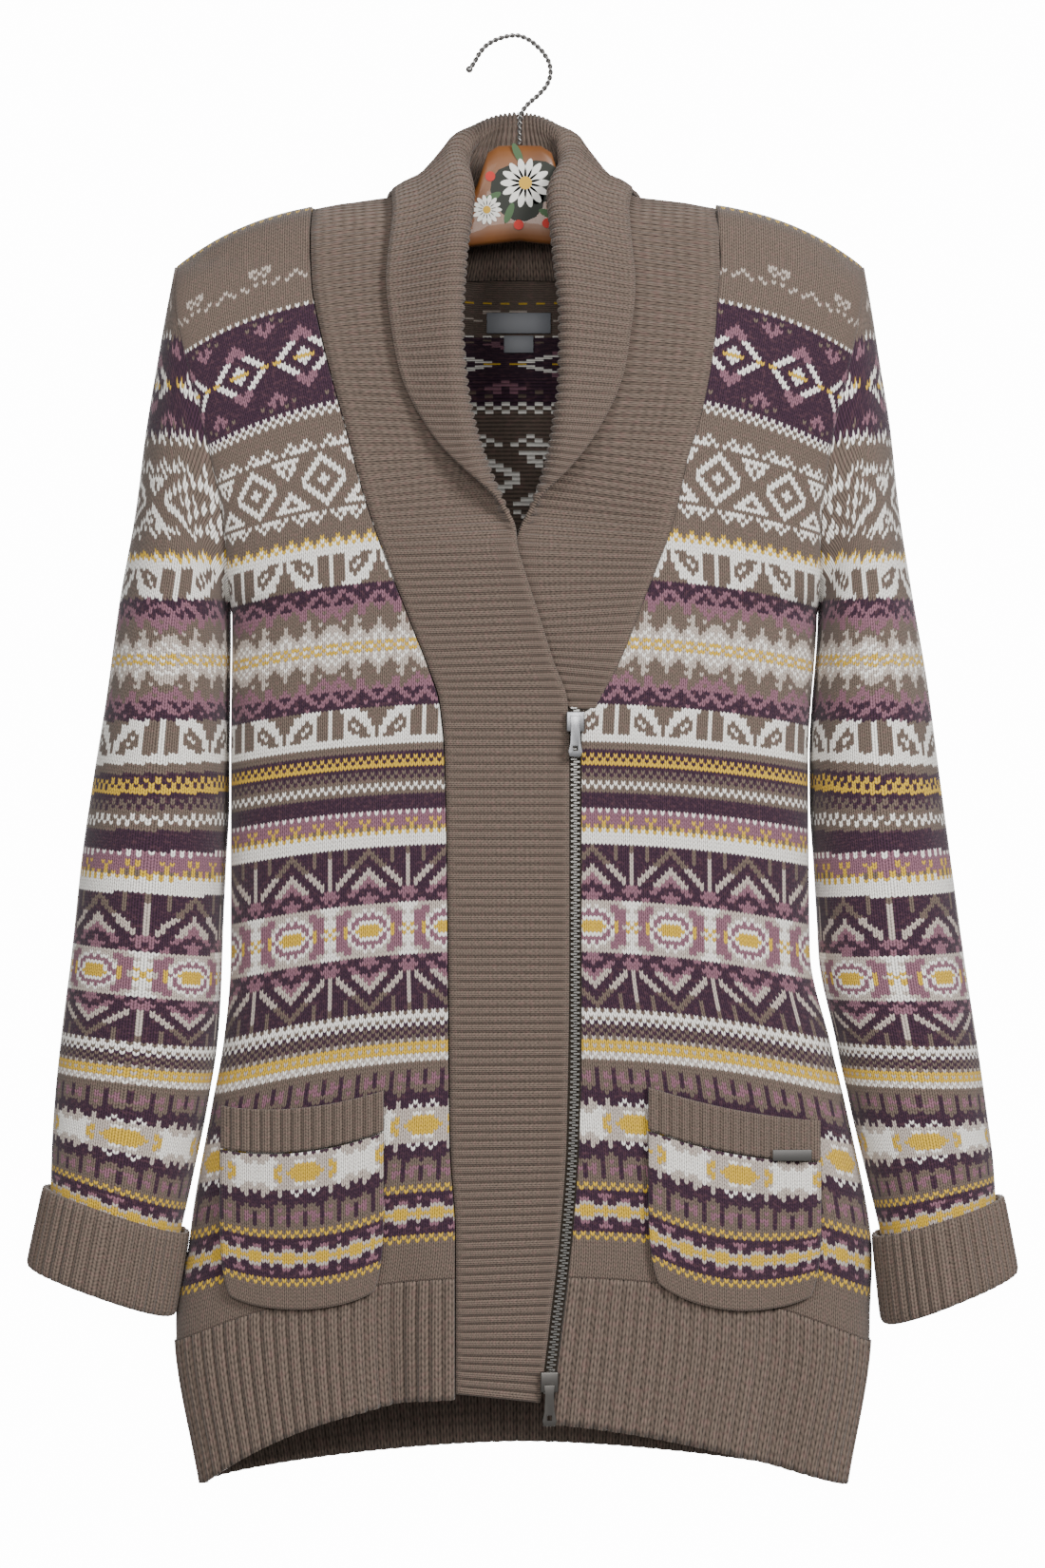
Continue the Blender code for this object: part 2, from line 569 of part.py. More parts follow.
EDGE_GAP = 6.5                     # least gap between the middles of the two layers
FALL_SLOPE = 0.25                  # how fast that gap closes below the roll
FULL_CURL = 40.0                   # curled length past which the points follow the roll


def collar_stations(rows, seam, gap):
    """A table of the stations with their distance along the collar; front seams follow the front's edge."""
    table = {name: [row[k] for row in rows] for k, name in enumerate(COLLAR_COLUMNS)}
    for k, side in enumerate(table["side"]):
        if side < 0:
            table["seam_x"][k] = track(seam, "z", "x", table["seam_z"][k]) + gap
    table["seam_y"] = [body_y(x, z, side) + side * 0.35
                       for x, z, side in zip(table["seam_x"], table["seam_z"], table["side"])]
    middles = [Vector(((a + d) / 2, (b + e) / 2, (c + f) / 2)) for a, b, c, d, e, f in zip(
        table["seam_x"], table["seam_y"], table["seam_z"], table["roll_x"], table["roll_y"], table["roll_z"])]
    along = [0.0]
    for first, second in zip(middles, middles[1:]):
        along.append(along[-1] + (second - first).length)
    table["along"] = along
    return table


def collar_point(table, s, t):
    """Point of the collar: s runs along it, and t from the seam (0) round the roll to the free edge (1)."""
    row = {name: track(table, "along", name, s) for name in table if name not in ("along", "side")}
    seam = Vector((row["seam_x"], row["seam_y"], row["seam_z"]))
    roll = Vector((row["roll_x"], row["roll_y"], row["roll_z"]))
    hint = Vector((row["out_x"], row["out_y"], row["out_z"]))
    radius, curl = row["radius"], row["curl"]
    chord = (roll - seam).normalized()
    out = (hint - chord * hint.dot(chord)).normalized()
    middle = (seam + roll) / 2 - out * row["sag"]
    heading = (roll - middle).normalized()
    out = (hint - heading * hint.dot(heading)).normalized()
    turn = min(math.pi, curl / radius)
    opened = min(1.0, turn / (math.pi / 2))
    start = roll - (heading + out) * radius * opened
    control = middle - out * radius * opened * 0.5
    lower, arc = (start - seam).length, turn * radius
    rest = max(curl - arc, 0.0)
    stages = (0, lower * 0.03, lower / 2, lower, lower + arc / 3, lower + arc * 2 / 3, lower + arc,
              lower + arc + rest * 0.96, lower + arc + rest)
    curled = float(np.interp(t, COLLAR_ACROSS, stages))
    flat = float(np.interp(t, COLLAR_ACROSS, FLAT_SHARES)) * stages[-1]
    share = min(curl / FULL_CURL, 1.0)
    run = share * curled + (1 - share) * flat

    bend = seam * 0.25 + control * 0.5 + start * 0.25

    first = (bend - seam).normalized()

    def under(k):
        place = seam + (bend - seam) * 2 * k if k < 0.5 else bend + (start - bend) * (2 * k - 1)
        return place, first.lerp(heading, min(max(k * 2.5 - 0.75, 0.0), 1.0)).normalized()

    if run <= lower:
        return under(run / lower)[0]
    if run <= lower + arc or rest <= 0:
        angle = min((run - lower) / radius, turn)
        return start + out * radius + (heading * math.sin(angle) - out * math.cos(angle)) * radius
    fallen = run - lower - arc
    base, along = under(1 - fallen / lower)
    rise = (hint - along * hint.dot(along)).normalized()
    gap = max(EDGE_GAP, 2 * radius - FALL_SLOPE * fallen)
    return base + rise * gap


def collar(name, table, out, rolls_from):
    """The flat band's outer points go up and down once for each rib; the rolled part above it is plain."""
    length = table["along"][-1]
    ribs = 2 * round(rolls_from / COLLAR_RIB / 2)
    surface = Surface(lambda t, s: collar_point(table, s, t), (0, 1), (0, length), out)
    fine = stops((0.5, rolls_from), ribs * 2)
    plain = stops((rolls_from, length - 0.4), round((length - rolls_from) / COLLAR_STEP))[1:]

    def raised(t, s):
        if t in (0, 1) or s > rolls_from:
            return 0.0
        return RIB_HEIGHT * (round((s - 0.5) / (rolls_from - 0.5) * ribs * 2) % 2)

    return shell(name, surface, COLLAR_ACROSS, fine + plain, COLLAR_ACROSS, fine[::8] + plain, TAUPE, raised)


def build_collar():
    right = collar_stations(COLLAR_RIGHT, RIGHT_SEAM, SEAM / 2)
    left = collar_stations(COLLAR_LEFT, LEFT_SEAM, -2.2)
    collar("collar_right", right, 1, right["along"][9])
    collar("collar_left", left, -1, left["along"][3])


# ---------------------------------------------------------------- pockets

POCKET_LIFT = 4.6                  # from the middle of the front's cloth to the middle of the patch
POCKET_BELLY = 1.2                 # how far the patch's mouth stands away
POCKET = {     # places on the fronts: X across, Z down at the edges and how far each edge line sags
    "right": {"x": (-176.0, -79.0), "welt_top": (-638.0, -627.0, -5.0), "seam": (-663.0, -651.0, -6.0),
              "foot": (-749.0, -745.0, -9.0), "ribs": 16},
    "left": {"x": (76.0, 178.0), "welt_top": (-625.0, -646.0, -3.0), "seam": (-650.0, -670.0, -4.0),
             "foot": (-740.0, -749.0, -12.0), "ribs": 17},
}


def pocket_line(line, u):
    first, last, sag = line
    return first + (last - first) * u + sag * 4 * u * (1 - u)


def pocket_point(spec, u, v):
    """Point of a pocket: v runs from the welt's top (0) over its seam (1) to the patch's foot (2)."""
    top, seam, foot = (pocket_line(spec[name], u) for name in ("welt_top", "seam", "foot"))
    z = top + (seam - top) * v if v <= 1 else seam + (foot - seam) * (v - 1)
    x = spec["x"][0] + (spec["x"][1] - spec["x"][0]) * u
    corner = max(0.0, v - 1) ** 6 * 6.0
    x += corner * (1 - 2 * u) ** 3
    open_mouth = math.sin(math.pi * u) * max(0.0, 1 - v / 2)
    return Vector((x, body_y(x, z, -1) - 0.35 - POCKET_LIFT - POCKET_BELLY * open_mouth, z))


def pocket(hand):
    spec = POCKET[hand]
    surface = Surface(lambda u, v: pocket_point(spec, u, v), (0, 1), (0, 2), -1)
    rows = (1.02, 1.3, 1.6, 1.85, 2.0)
    shell("pocket_" + hand, surface, stops((0, 1), 8), rows, stops((0, 1), 8), rows, JACQUARD)
    span = (-0.004, 1.004)
    wide = Surface(surface.point, span, (0, 2), -1)
    shell("pocket_welt_" + hand, wide, ribbed_columns(span, spec["ribs"]), (0.0, 0.99), stops(span, spec["ribs"]),
          (0.0, 0.99), TAUPE, rib_height(span, spec["ribs"], 0.8))


# ---------------------------------------------------------------- zip, plate and labels

CHAIN_DEPTH = 2.2
SLIDER = (10.5, 12.0, 3.0)         # width, height and thickness of a slider's front plate
PULL = (8.4, 24.0, 1.8)
PIN_RADIUS = 0.9


def box(bm, centre, size):
    made = bmesh.ops.create_cube(bm, size=1.0)["verts"]
    bmesh.ops.scale(bm, vec=size, verts=made)
    bmesh.ops.translate(bm, vec=centre, verts=made)
    return made


def rounded_box(name, centre, size, colour, roughness, metallic, bevel):
    bm = bmesh.new()
    box(bm, centre, size)
    bmesh.ops.bevel(bm, geom=bm.edges, offset=bevel, segments=1, affect="EDGES")
    return finish(name, bm, colour, roughness, metallic)


def zip_middle(z):
    x = track(ZIP, "z", "x", z)
    return x, body_y(x, z, -1) - 0.35


def zip_strip(name, half_width, front_y, back_y, rows, colour, roughness, metallic):
    """A strip along the zip between two depths from the middle of the cloth."""
    bm = bmesh.new()
    rings = []
    for z in rows:
        x, y = zip_middle(z)
        rings.append([bm.verts.new((x + side * half_width, y + deep, z))
                      for side, deep in ((-1, front_y), (1, front_y), (1, back_y), (-1, back_y))])
    for upper, lower in zip(rings, rings[1:]):
        for k in range(4):
            n = (k + 1) % 4
            bm.faces.new((upper[k], upper[n], lower[n], lower[k]))
    bm.faces.new(rings[0])
    bm.faces.new(rings[-1])
    return finish(name, bm, colour, roughness, metallic)


def slider(end, z, way, colour):
    """A slider's plate in front of the chain with its bridge, and the pull that hinges on the bridge."""
    x, y = zip_middle(z)
    width, height, thick = SLIDER
    face = y - WALL / 2 - RIB_HEIGHT - 2 * CLEAR
    rounded_box(f"zip_slider_{end}", (x, face - thick / 2, z), (width, thick, height), colour, 0.3, 1.0, 0.8)
    hinge = (x, face - thick - 0.9 - PIN_RADIUS, z + way * height * 0.2)
    bm = bmesh.new()
    box(bm, (0, 0, -PULL[1] / 2 + 1), (PULL[0], PULL[2], PULL[1]))
    bmesh.ops.bevel(bm, geom=bm.edges, offset=0.7, segments=1, affect="EDGES")
    pull = finish(f"zip_pull_{end}", bm, colour, 0.3, 1.0)
    pull.location = Vector(hinge) * MM
    return hinge


def build_zip():
    rows = stops((ZIP_TOP - 1, ZIP_BOTTOM), 12)
    zip_strip("zip_tape", TAPE_WIDTH / 2, WALL / 2 + 2 * CLEAR, WALL / 2 + 2 * CLEAR + 1.0, rows, TAUPE, 0.9, 0.0)
    zip_strip("zip_chain", CHAIN_WIDTH / 2, -CHAIN_DEPTH / 2, CHAIN_DEPTH / 2, rows, GUNMETAL, 0.4, 1.0)
    slider("top", ZIP_TOP - 9, 1, (0.55, 0.55, 0.54))
    slider("bottom", ZIP_BOTTOM + 8, -1, GUNMETAL)


PLATE = (23.0, 1.2, 6.6)
PLATE_AT = (0.83, 0.86)            # its place on the left pocket's welt
LABELS = {"neck_label": (0.0, -167.0, 39.0, 12.5), "size_label": (0.0, -179.8, 18.0, 10.5)}


def build_trims():
    at = pocket_point(POCKET["left"], *PLATE_AT)
    away = WALL / 2 + RIB_HEIGHT + 3.0
    rounded_box("pocket_plate", at + Vector((0, -away, 0)), PLATE, GUNMETAL, 0.45, 0.9, 0.3)
    for name, (x, z, width, height) in LABELS.items():
        y = body_y(x, z, 1) + 0.35 - WALL / 2 - 1.4
        rounded_box(name, (x, y, z), (width, 0.8, height), (0.33, 0.34, 0.37), 0.5, 0.0, 0.15)


# ---------------------------------------------------------------- hanger

BOARD_THICK = 13.0
BOARD_TOP = {"x": (0, 17, 22, 30, 45, 62, 85, 110, 140, 165, 186, 194),
             "z": (-64.5, -65, -79, -97, -108, -113, -116, -117, -118, -121, -129, -137)}
BOARD_FOOT = {"x": (0, 40, 85, 125, 160, 180, 190, 194), "z": (-122, -127, -141, -151, -157, -157, -150, -138)}
HOOK_WIRE = 1.6                    # radius of the twisted wire as one rod
HOOK = ((-29.6, -18.9), (-26.8, -15.2), (-24.0, -9.7), (-19.9, -4.6), (-13.7, -0.9), (-5.7, 1.4), (0.6, 1.6),
        (7.4, -1.7), (14.3, -8.0), (18.6, -14.8), (19.4, -21.7), (17.1, -28.5), (11.4, -34.8), (5.4, -39.6),
        (1.2, -45.0), (0.6, -52.0), (0.6, -64.0))


def board():
    bm = bmesh.new()
    columns = [-x for x in (190, 176, 158, 135, 110, 85, 62, 45, 34, 26, 20, 12)]
    columns = columns + [0] + [-x for x in reversed(columns)]
    half = BOARD_THICK / 2
    rings = []
    for x in columns:
        top = track(BOARD_TOP, "x", "z", abs(x))
        foot = track(BOARD_FOOT, "x", "z", abs(x))
        lip = min(4.0, (top - foot) / 3)
        outline = ((-half + 2, top), (half - 2, top), (half, top - lip), (half, foot + lip), (half - 2.5, foot),
                   (-half + 2.5, foot), (-half, foot + lip), (-half, top - lip))
        rings.append([bm.verts.new((x + 0.6, y, z)) for y, z in outline])
    for first, second in zip(rings, rings[1:]):
        for k in range(len(first)):
            n = (k + 1) % len(first)
            bm.faces.new((first[k], first[n], second[n], second[k]))
    bm.faces.new(rings[0])
    bm.faces.new(rings[-1])
    return finish("hanger_board", bm, (0.48, 0.22, 0.06), 0.35)


def hook():
    """The hook's wire as one rod, swept along its line in the XZ plane."""
    bm = bmesh.new()
    sides = 8
    line = [Vector((x, 0, z)) for x, z in HOOK]
    rings = []
    for k, place in enumerate(line):
        along = (line[min(k + 1, len(line) - 1)] - line[max(k - 1, 0)]).normalized()
        across = along.cross(Vector((0, 1, 0)))
        rings.append([bm.verts.new(place + (across * math.cos(a) + Vector((0, 1, 0)) * math.sin(a)) * HOOK_WIRE)
                      for a in (2 * math.pi * j / sides for j in range(sides))])
    for first, second in zip(rings, rings[1:]):
        for j in range(sides):
            n = (j + 1) % sides
            bm.faces.new((first[j], first[n], second[n], second[j]))
    bm.faces.new(rings[0])
    bm.faces.new(rings[-1])
    return finish("hanger_hook", bm, (0.6, 0.58, 0.55), 0.3, 1.0)


# ---------------------------------------------------------------- build

def main():
    for old in list(bpy.data.objects):
        bpy.data.objects.remove(old)
    build_body()
    build_sleeves()
    build_collar()
    for hand in ("right", "left"):
        pocket(hand)
    build_zip()
    build_trims()
    board()
    hook()


main()
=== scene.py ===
"""Long banded-knit cardigan with a ribbed shawl collar and an off-centre zip, on a wooden hanger."""
import math

import bpy
import numpy as np
from mathutils import Matrix, Vector


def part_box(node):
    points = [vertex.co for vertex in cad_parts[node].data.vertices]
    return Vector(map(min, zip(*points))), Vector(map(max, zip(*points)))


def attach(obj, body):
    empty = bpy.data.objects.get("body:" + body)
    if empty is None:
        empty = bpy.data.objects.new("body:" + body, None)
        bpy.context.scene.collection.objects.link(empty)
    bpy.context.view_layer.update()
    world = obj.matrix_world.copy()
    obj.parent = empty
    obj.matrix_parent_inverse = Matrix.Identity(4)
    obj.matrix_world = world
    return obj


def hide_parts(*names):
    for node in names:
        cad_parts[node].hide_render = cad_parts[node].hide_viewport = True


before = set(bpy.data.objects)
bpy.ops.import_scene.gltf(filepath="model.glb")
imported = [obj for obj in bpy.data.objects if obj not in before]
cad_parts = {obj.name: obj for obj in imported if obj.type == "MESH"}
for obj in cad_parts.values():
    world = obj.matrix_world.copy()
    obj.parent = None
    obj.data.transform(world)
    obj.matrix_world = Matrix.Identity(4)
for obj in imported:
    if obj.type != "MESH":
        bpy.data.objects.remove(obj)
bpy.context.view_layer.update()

# ================================================================ back panel
# The back of the body in stranded knit, one quad for each stitch, with the floats on its inside.
# It is sewn to the fronts at the shoulders and sides and hangs from the hanger's board.
WALL = 2.6               # thickness of the knit, and of the ribbed knit between its ribs
SEAM = 0.7               # gap between two panels at a seam
ARMHOLE_TOP = -138.0
ARMHOLE_BOTTOM = -342.0
ARMHOLE_DEPTH = 47.0
SHOULDER_ROUND = 22.0    # height over which the cloth rounds off the hanger
SECTION_POWER = 3.0      # how square the body's section is
TYPICAL_HALF, TYPICAL_DEPTH = 190, 50   # of the section that the stitches are spaced by
SHOULDER_HALF = 204.5
SHOULDER_PARTING = 1.0   # how much wider the gap between front and back is at the shoulder
FOLDS = (                # soft folds in the fronts: place across, width, depth and top
    (-72.0, 16.0, 13.0, -650.0),
    (150.0, 18.0, 4.0, -560.0),
)
FOLD_FADE = 160.0        # height over which a fold reaches its whole depth

# Body sections from the shoulder to the hem.
BODY = {
    "z":      (-90, -138, -154, -172, -200, -234, -268, -297, -342, -433, -547, -604, -638, -718, -769, -868),
    "centre": (0.5, 0.5, 0.3, -0.2, 0.0, 0.2, 1.4, 2.3, 3.5, 0.5, 1.0, 5.0, 6.0, 7.0, 2.5, 2.9),
    "half":   (204.5, 204.5, 203, 200.4, 194, 185.5, 178.7, 174.5, 174.0, 171.5, 172, 180.7, 188, 202.6, 206.5,
               191.5),
    "front":  (24, 34, 38, 42, 47, 51, 54, 56, 58, 58, 58, 56, 54, 52, 50, 47),
    "back":   (24, 36, 37, 38, 40, 43, 46, 48, 50, 50, 50, 49, 48, 47, 46, 45),
}
# Knit courses: height at the body's centre, how far they drop to the side seams, and how late.
COURSE = {
    "v":      (0.0, 0.18, 0.36, 0.53, 0.79, 1.0),
    "centre": (-97, -200, -326, -433, -603.5, -737),
    "drop":   (41, 36, 16, 13, 24.5, 43),
    "power":  (4.0, 2.5, 2.5, 2.5, 2.5, 2.5),
}
HEM = {                  # lower edge of each ribbed hem, as for the courses
    "right": (-808, 57, 2.4),
    "left":  (-823, 42, 1.6),
    "back":  (-849, 18, 1.6),
}
# Seam between each front and the collar, and the zip edge below it.
RIGHT_SEAM = {
    "z": (-95, -120, -149, -183.5, -210, -240, -277, -316, -356, -382, -400, -428, -489, -545, -657, -713,
          -830),
    "x": (-123, -123.5, -122.4, -116.2, -109.5, -101.1, -91.1, -77.6, -62.0, -51.9, -46.3, -43.5, -41.9, -41.3,
          -40.2, -37.0, -37.0),
}
LEFT_SEAM = {
    "z": (-95, -120, -135, -162, -189, -210, -235, -258, -277, -298, -320.5, -346, -368, -389, -400),
    "x": (117.5, 118.1, 119.2, 117, 114.8, 111.4, 105.8, 98.4, 94.6, 89.0, 80.6, 70.6, 62.2, 52.1, 45.0),
}
ZIP = {
    "z": (-395, -500, -600, -656, -711, -767, -800, -830),
    "x": (33.2, 33.2, 33.2, 32.0, 28.2, 21.8, 17.9, 15.0),
}
ZIP_TOP = -402.0
ZIP_BOTTOM = -806.0
CHAIN_WIDTH = 5.8


def track(table, key, column, at):
    """Read a table's column at a key with a smooth curve through its rows."""
    keys = np.array(table[key], float)
    values = np.array(table[column], float)
    if keys[0] > keys[-1]:
        keys, values = keys[::-1], values[::-1]
    at = min(max(at, keys[0]), keys[-1])
    i = int(min(max(np.searchsorted(keys, at, side="right") - 1, 0), len(keys) - 2))
    slopes = np.diff(values) / np.diff(keys)

    def tangent(k):
        if k == 0 or k == len(keys) - 1:
            return slopes[min(k, len(slopes) - 1)]
        before, after = slopes[k - 1], slopes[k]
        return 0.0 if before * after <= 0 else 2 * before * after / (before + after)

    step = keys[i + 1] - keys[i]
    t = (at - keys[i]) / step
    rise = values[i + 1] - values[i]
    a, b = tangent(i) * step, tangent(i + 1) * step
    return values[i] + t * (a + t * (3 * rise - 2 * a - b + t * (a + b - 2 * rise)))


def shoulder(x):
    """Height of the shoulder line that the hanger holds up."""
    reach = min(abs(x - 0.5) / SHOULDER_HALF, 1.05)
    return COURSE["centre"][0] - COURSE["drop"][0] * reach ** COURSE["power"][0]


def armhole_depth(z):
    """Half the front-to-back opening of the armhole at a height."""
    middle = (ARMHOLE_TOP + ARMHOLE_BOTTOM) / 2
    part = abs(z - middle) / ((ARMHOLE_TOP - ARMHOLE_BOTTOM) / 2)
    return ARMHOLE_DEPTH * max(0.0, 1 - part ** 2.2) ** (1 / 2.2)


def body_y(x, z, side):
    """Depth of the middle of the body's cloth; side is -1 for the front and 1 for the back."""
    u = min(abs(x - track(BODY, "z", "centre", z)) / track(BODY, "z", "half", z), 1.0)
    full = track(BODY, "z", "front" if side < 0 else "back", z)
    edge = min(armhole_depth(z), full)
    depth = edge + (full - edge) * (1 - u ** SECTION_POWER) ** (1 / SECTION_POWER)
    below = min(max((shoulder(x) - z) / SHOULDER_ROUND, 0.0), 1.0)
    fold = 0.0
    if side < 0:
        for at, width, deep, top in FOLDS:
            low = min(max((top - z) / FOLD_FADE, 0.0), 1.0)
            fold += deep * low * low * math.exp(-((x - at) / width) ** 2)
    return side * (depth * math.sqrt(1 - (1 - below) ** 2) - fold)


def parting(x, z):
    """Half the gap between front and back, wider where both round over the shoulder."""
    below = min(max((shoulder(x) - z) / SHOULDER_ROUND, 0.0), 1.0)
    return SEAM / 2 + SHOULDER_PARTING * (1 - below) ** 2


def course_z(v, u, hem=None):
    """Height of a knit course; v runs from the shoulder (0) to the hem seam (1) and on to the edge (2)."""
    row = min(v, 1.0)
    centre, drop, power = (track(COURSE, "v", name, row) for name in ("centre", "drop", "power"))
    if v > 1:
        low_centre, low_drop, low_power = HEM[hem]
        k = v - 1
        centre += (low_centre - centre) * k
        drop += (low_drop - drop) * k
        power += (low_power - power) * k
    return centre - drop * abs(u) ** power


def side_x(z, way):
    """How far across one side of the body is at a height."""
    return track(BODY, "z", "centre", z) + way * track(BODY, "z", "half", z)


def section_arc():
    """Even steps round a quarter of a typical section: how far out each is, and the way along to it."""
    angles = np.linspace(0, math.pi / 2, 721)
    power = 2 / SECTION_POWER
    out, deep = np.sin(angles) ** power, np.cos(angles) ** power
    lengths = np.hypot(np.diff(out) * TYPICAL_HALF, np.diff(deep) * TYPICAL_DEPTH)
    along = np.concatenate(([0.0], np.cumsum(lengths)))
    return out, along / along[-1]


ARC_OUT, ARC_ALONG = section_arc()


def spread(first, last, t):
    """How far out across a half section, in even steps of cloth between two such places."""
    start, end = np.interp((first, last), ARC_OUT, ARC_ALONG)
    return float(np.interp(start + (end - start) * t, ARC_ALONG, ARC_OUT))


def front_point(u, v, way, hem):
    """Point of a front: u runs from the collar seam or zip (0) to the side (1)."""
    z_side = course_z(v, 1.0, hem)
    z_inner = course_z(v, 0.3, hem)
    seam = RIGHT_SEAM
    for _ in range(6):
        if way < 0:
            x_inner = track(seam, "z", "x", z_inner) - SEAM / 2
        elif z_inner > ZIP_TOP:
            x_inner = track(LEFT_SEAM, "z", "x", z_inner) + SEAM / 2
        else:
            x_inner = track(ZIP, "z", "x", z_inner) + CHAIN_WIDTH / 2 + SEAM
        centre, half = track(BODY, "z", "centre", z_inner), track(BODY, "z", "half", z_inner)
        reach = abs(x_inner - centre) / half
        z_inner = course_z(v, reach, hem)
    z = z_inner + (z_side - z_inner) * u
    for _ in range(6):
        centre, half = track(BODY, "z", "centre", z), track(BODY, "z", "half", z)
        part = spread(reach, 1.0, u)
        z = course_z(v, part, hem)
    x = centre + way * half * part
    return Vector((x, body_y(x, z, -1) - parting(x, z), z))


def back_point(u, v):
    """Point of the back: u runs from the wearer's right side (-1) to the left side (1)."""
    part = spread(0.0, 1.0, abs(u))
    z = course_z(v, part, "back")
    neck = neck_z(part)
    if neck is not None and v < NECK_PART:
        low = course_z(NECK_PART, part)
        z = neck + (low - neck) * v / NECK_PART
    half, centre = track(BODY, "z", "half", z), track(BODY, "z", "centre", z)
    x = centre + math.copysign(half * part, u) if u else centre
    return Vector((x, body_y(x, z, 1) + parting(x, z), z))


NECK_HALF = 123.0
NECK_DEPTH = 38.0
NECK_PART = 0.18         # part of the courses that the neck's curve draws down
NECK_SCALE = 205.0       # half width that a share of the section stands for at the neck


def neck_z(part):
    """Height of the back's neck seam, or None outside the neck."""
    x = part * NECK_SCALE
    if x >= NECK_HALF:
        return None
    return shoulder(NECK_HALF) - NECK_DEPTH * (1 - (x / NECK_HALF) ** 2.6)


def taps(count, at):
    """Smooth interpolation weights from even samples over 0..1 to the places at."""
    x = np.clip(at, 0, 1).ravel() * (count - 1)
    k = np.minimum(x.astype(int), count - 2)
    t = x - k
    made = np.zeros((len(x), count))
    parts = (-0.5 * t + t * t - 0.5 * t**3, 1 - 2.5 * t * t + 1.5 * t**3,
             0.5 * t + 2 * t * t - 1.5 * t**3, -0.5 * t * t + 0.5 * t**3)
    for shift, part in zip((-1, 0, 1, 2), parts):
        np.add.at(made, (np.arange(len(x)), np.clip(k + shift, 0, count - 1)), part)
    return made.reshape(np.shape(at) + (count,))


def sampled(point, across, down, counts):
    """An even grid of a surface's points, from its formula."""
    return np.array([[point(u, v) for u in np.linspace(*across, counts[0])]
                     for v in np.linspace(*down, counts[1])])


def fine(coarse, across, down):
    """Points between a coarse grid's points; across is one row of places, or a row of its own for each."""
    rows = np.tensordot(taps(coarse.shape[0], down), coarse, 1)
    weights = taps(coarse.shape[1], across)
    return np.einsum("cu,rux->rcx" if weights.ndim == 2 else "rcu,rux->rcx", weights, rows)


def facing(points, out, closed=False):
    """Unit normals of a grid of points; a closed grid repeats its first column at its end."""
    across = np.gradient(points, axis=1)
    if closed:
        across[:, 0] = across[:, -1] = points[:, 1] - points[:, -2]
    down = np.gradient(points, axis=0)
    found = np.cross(across, down)
    length = np.linalg.norm(found, axis=2, keepdims=True)
    return out * found / np.maximum(length, 1e-9)


def places(points, per_column=1.0, per_row=1.0):
    """Stitch counts across and up a grid, for the shader's stitches."""
    rows, columns = points.shape[:2]
    return np.stack(np.meshgrid(np.arange(columns) * per_column, -np.arange(rows) * per_row), axis=2)


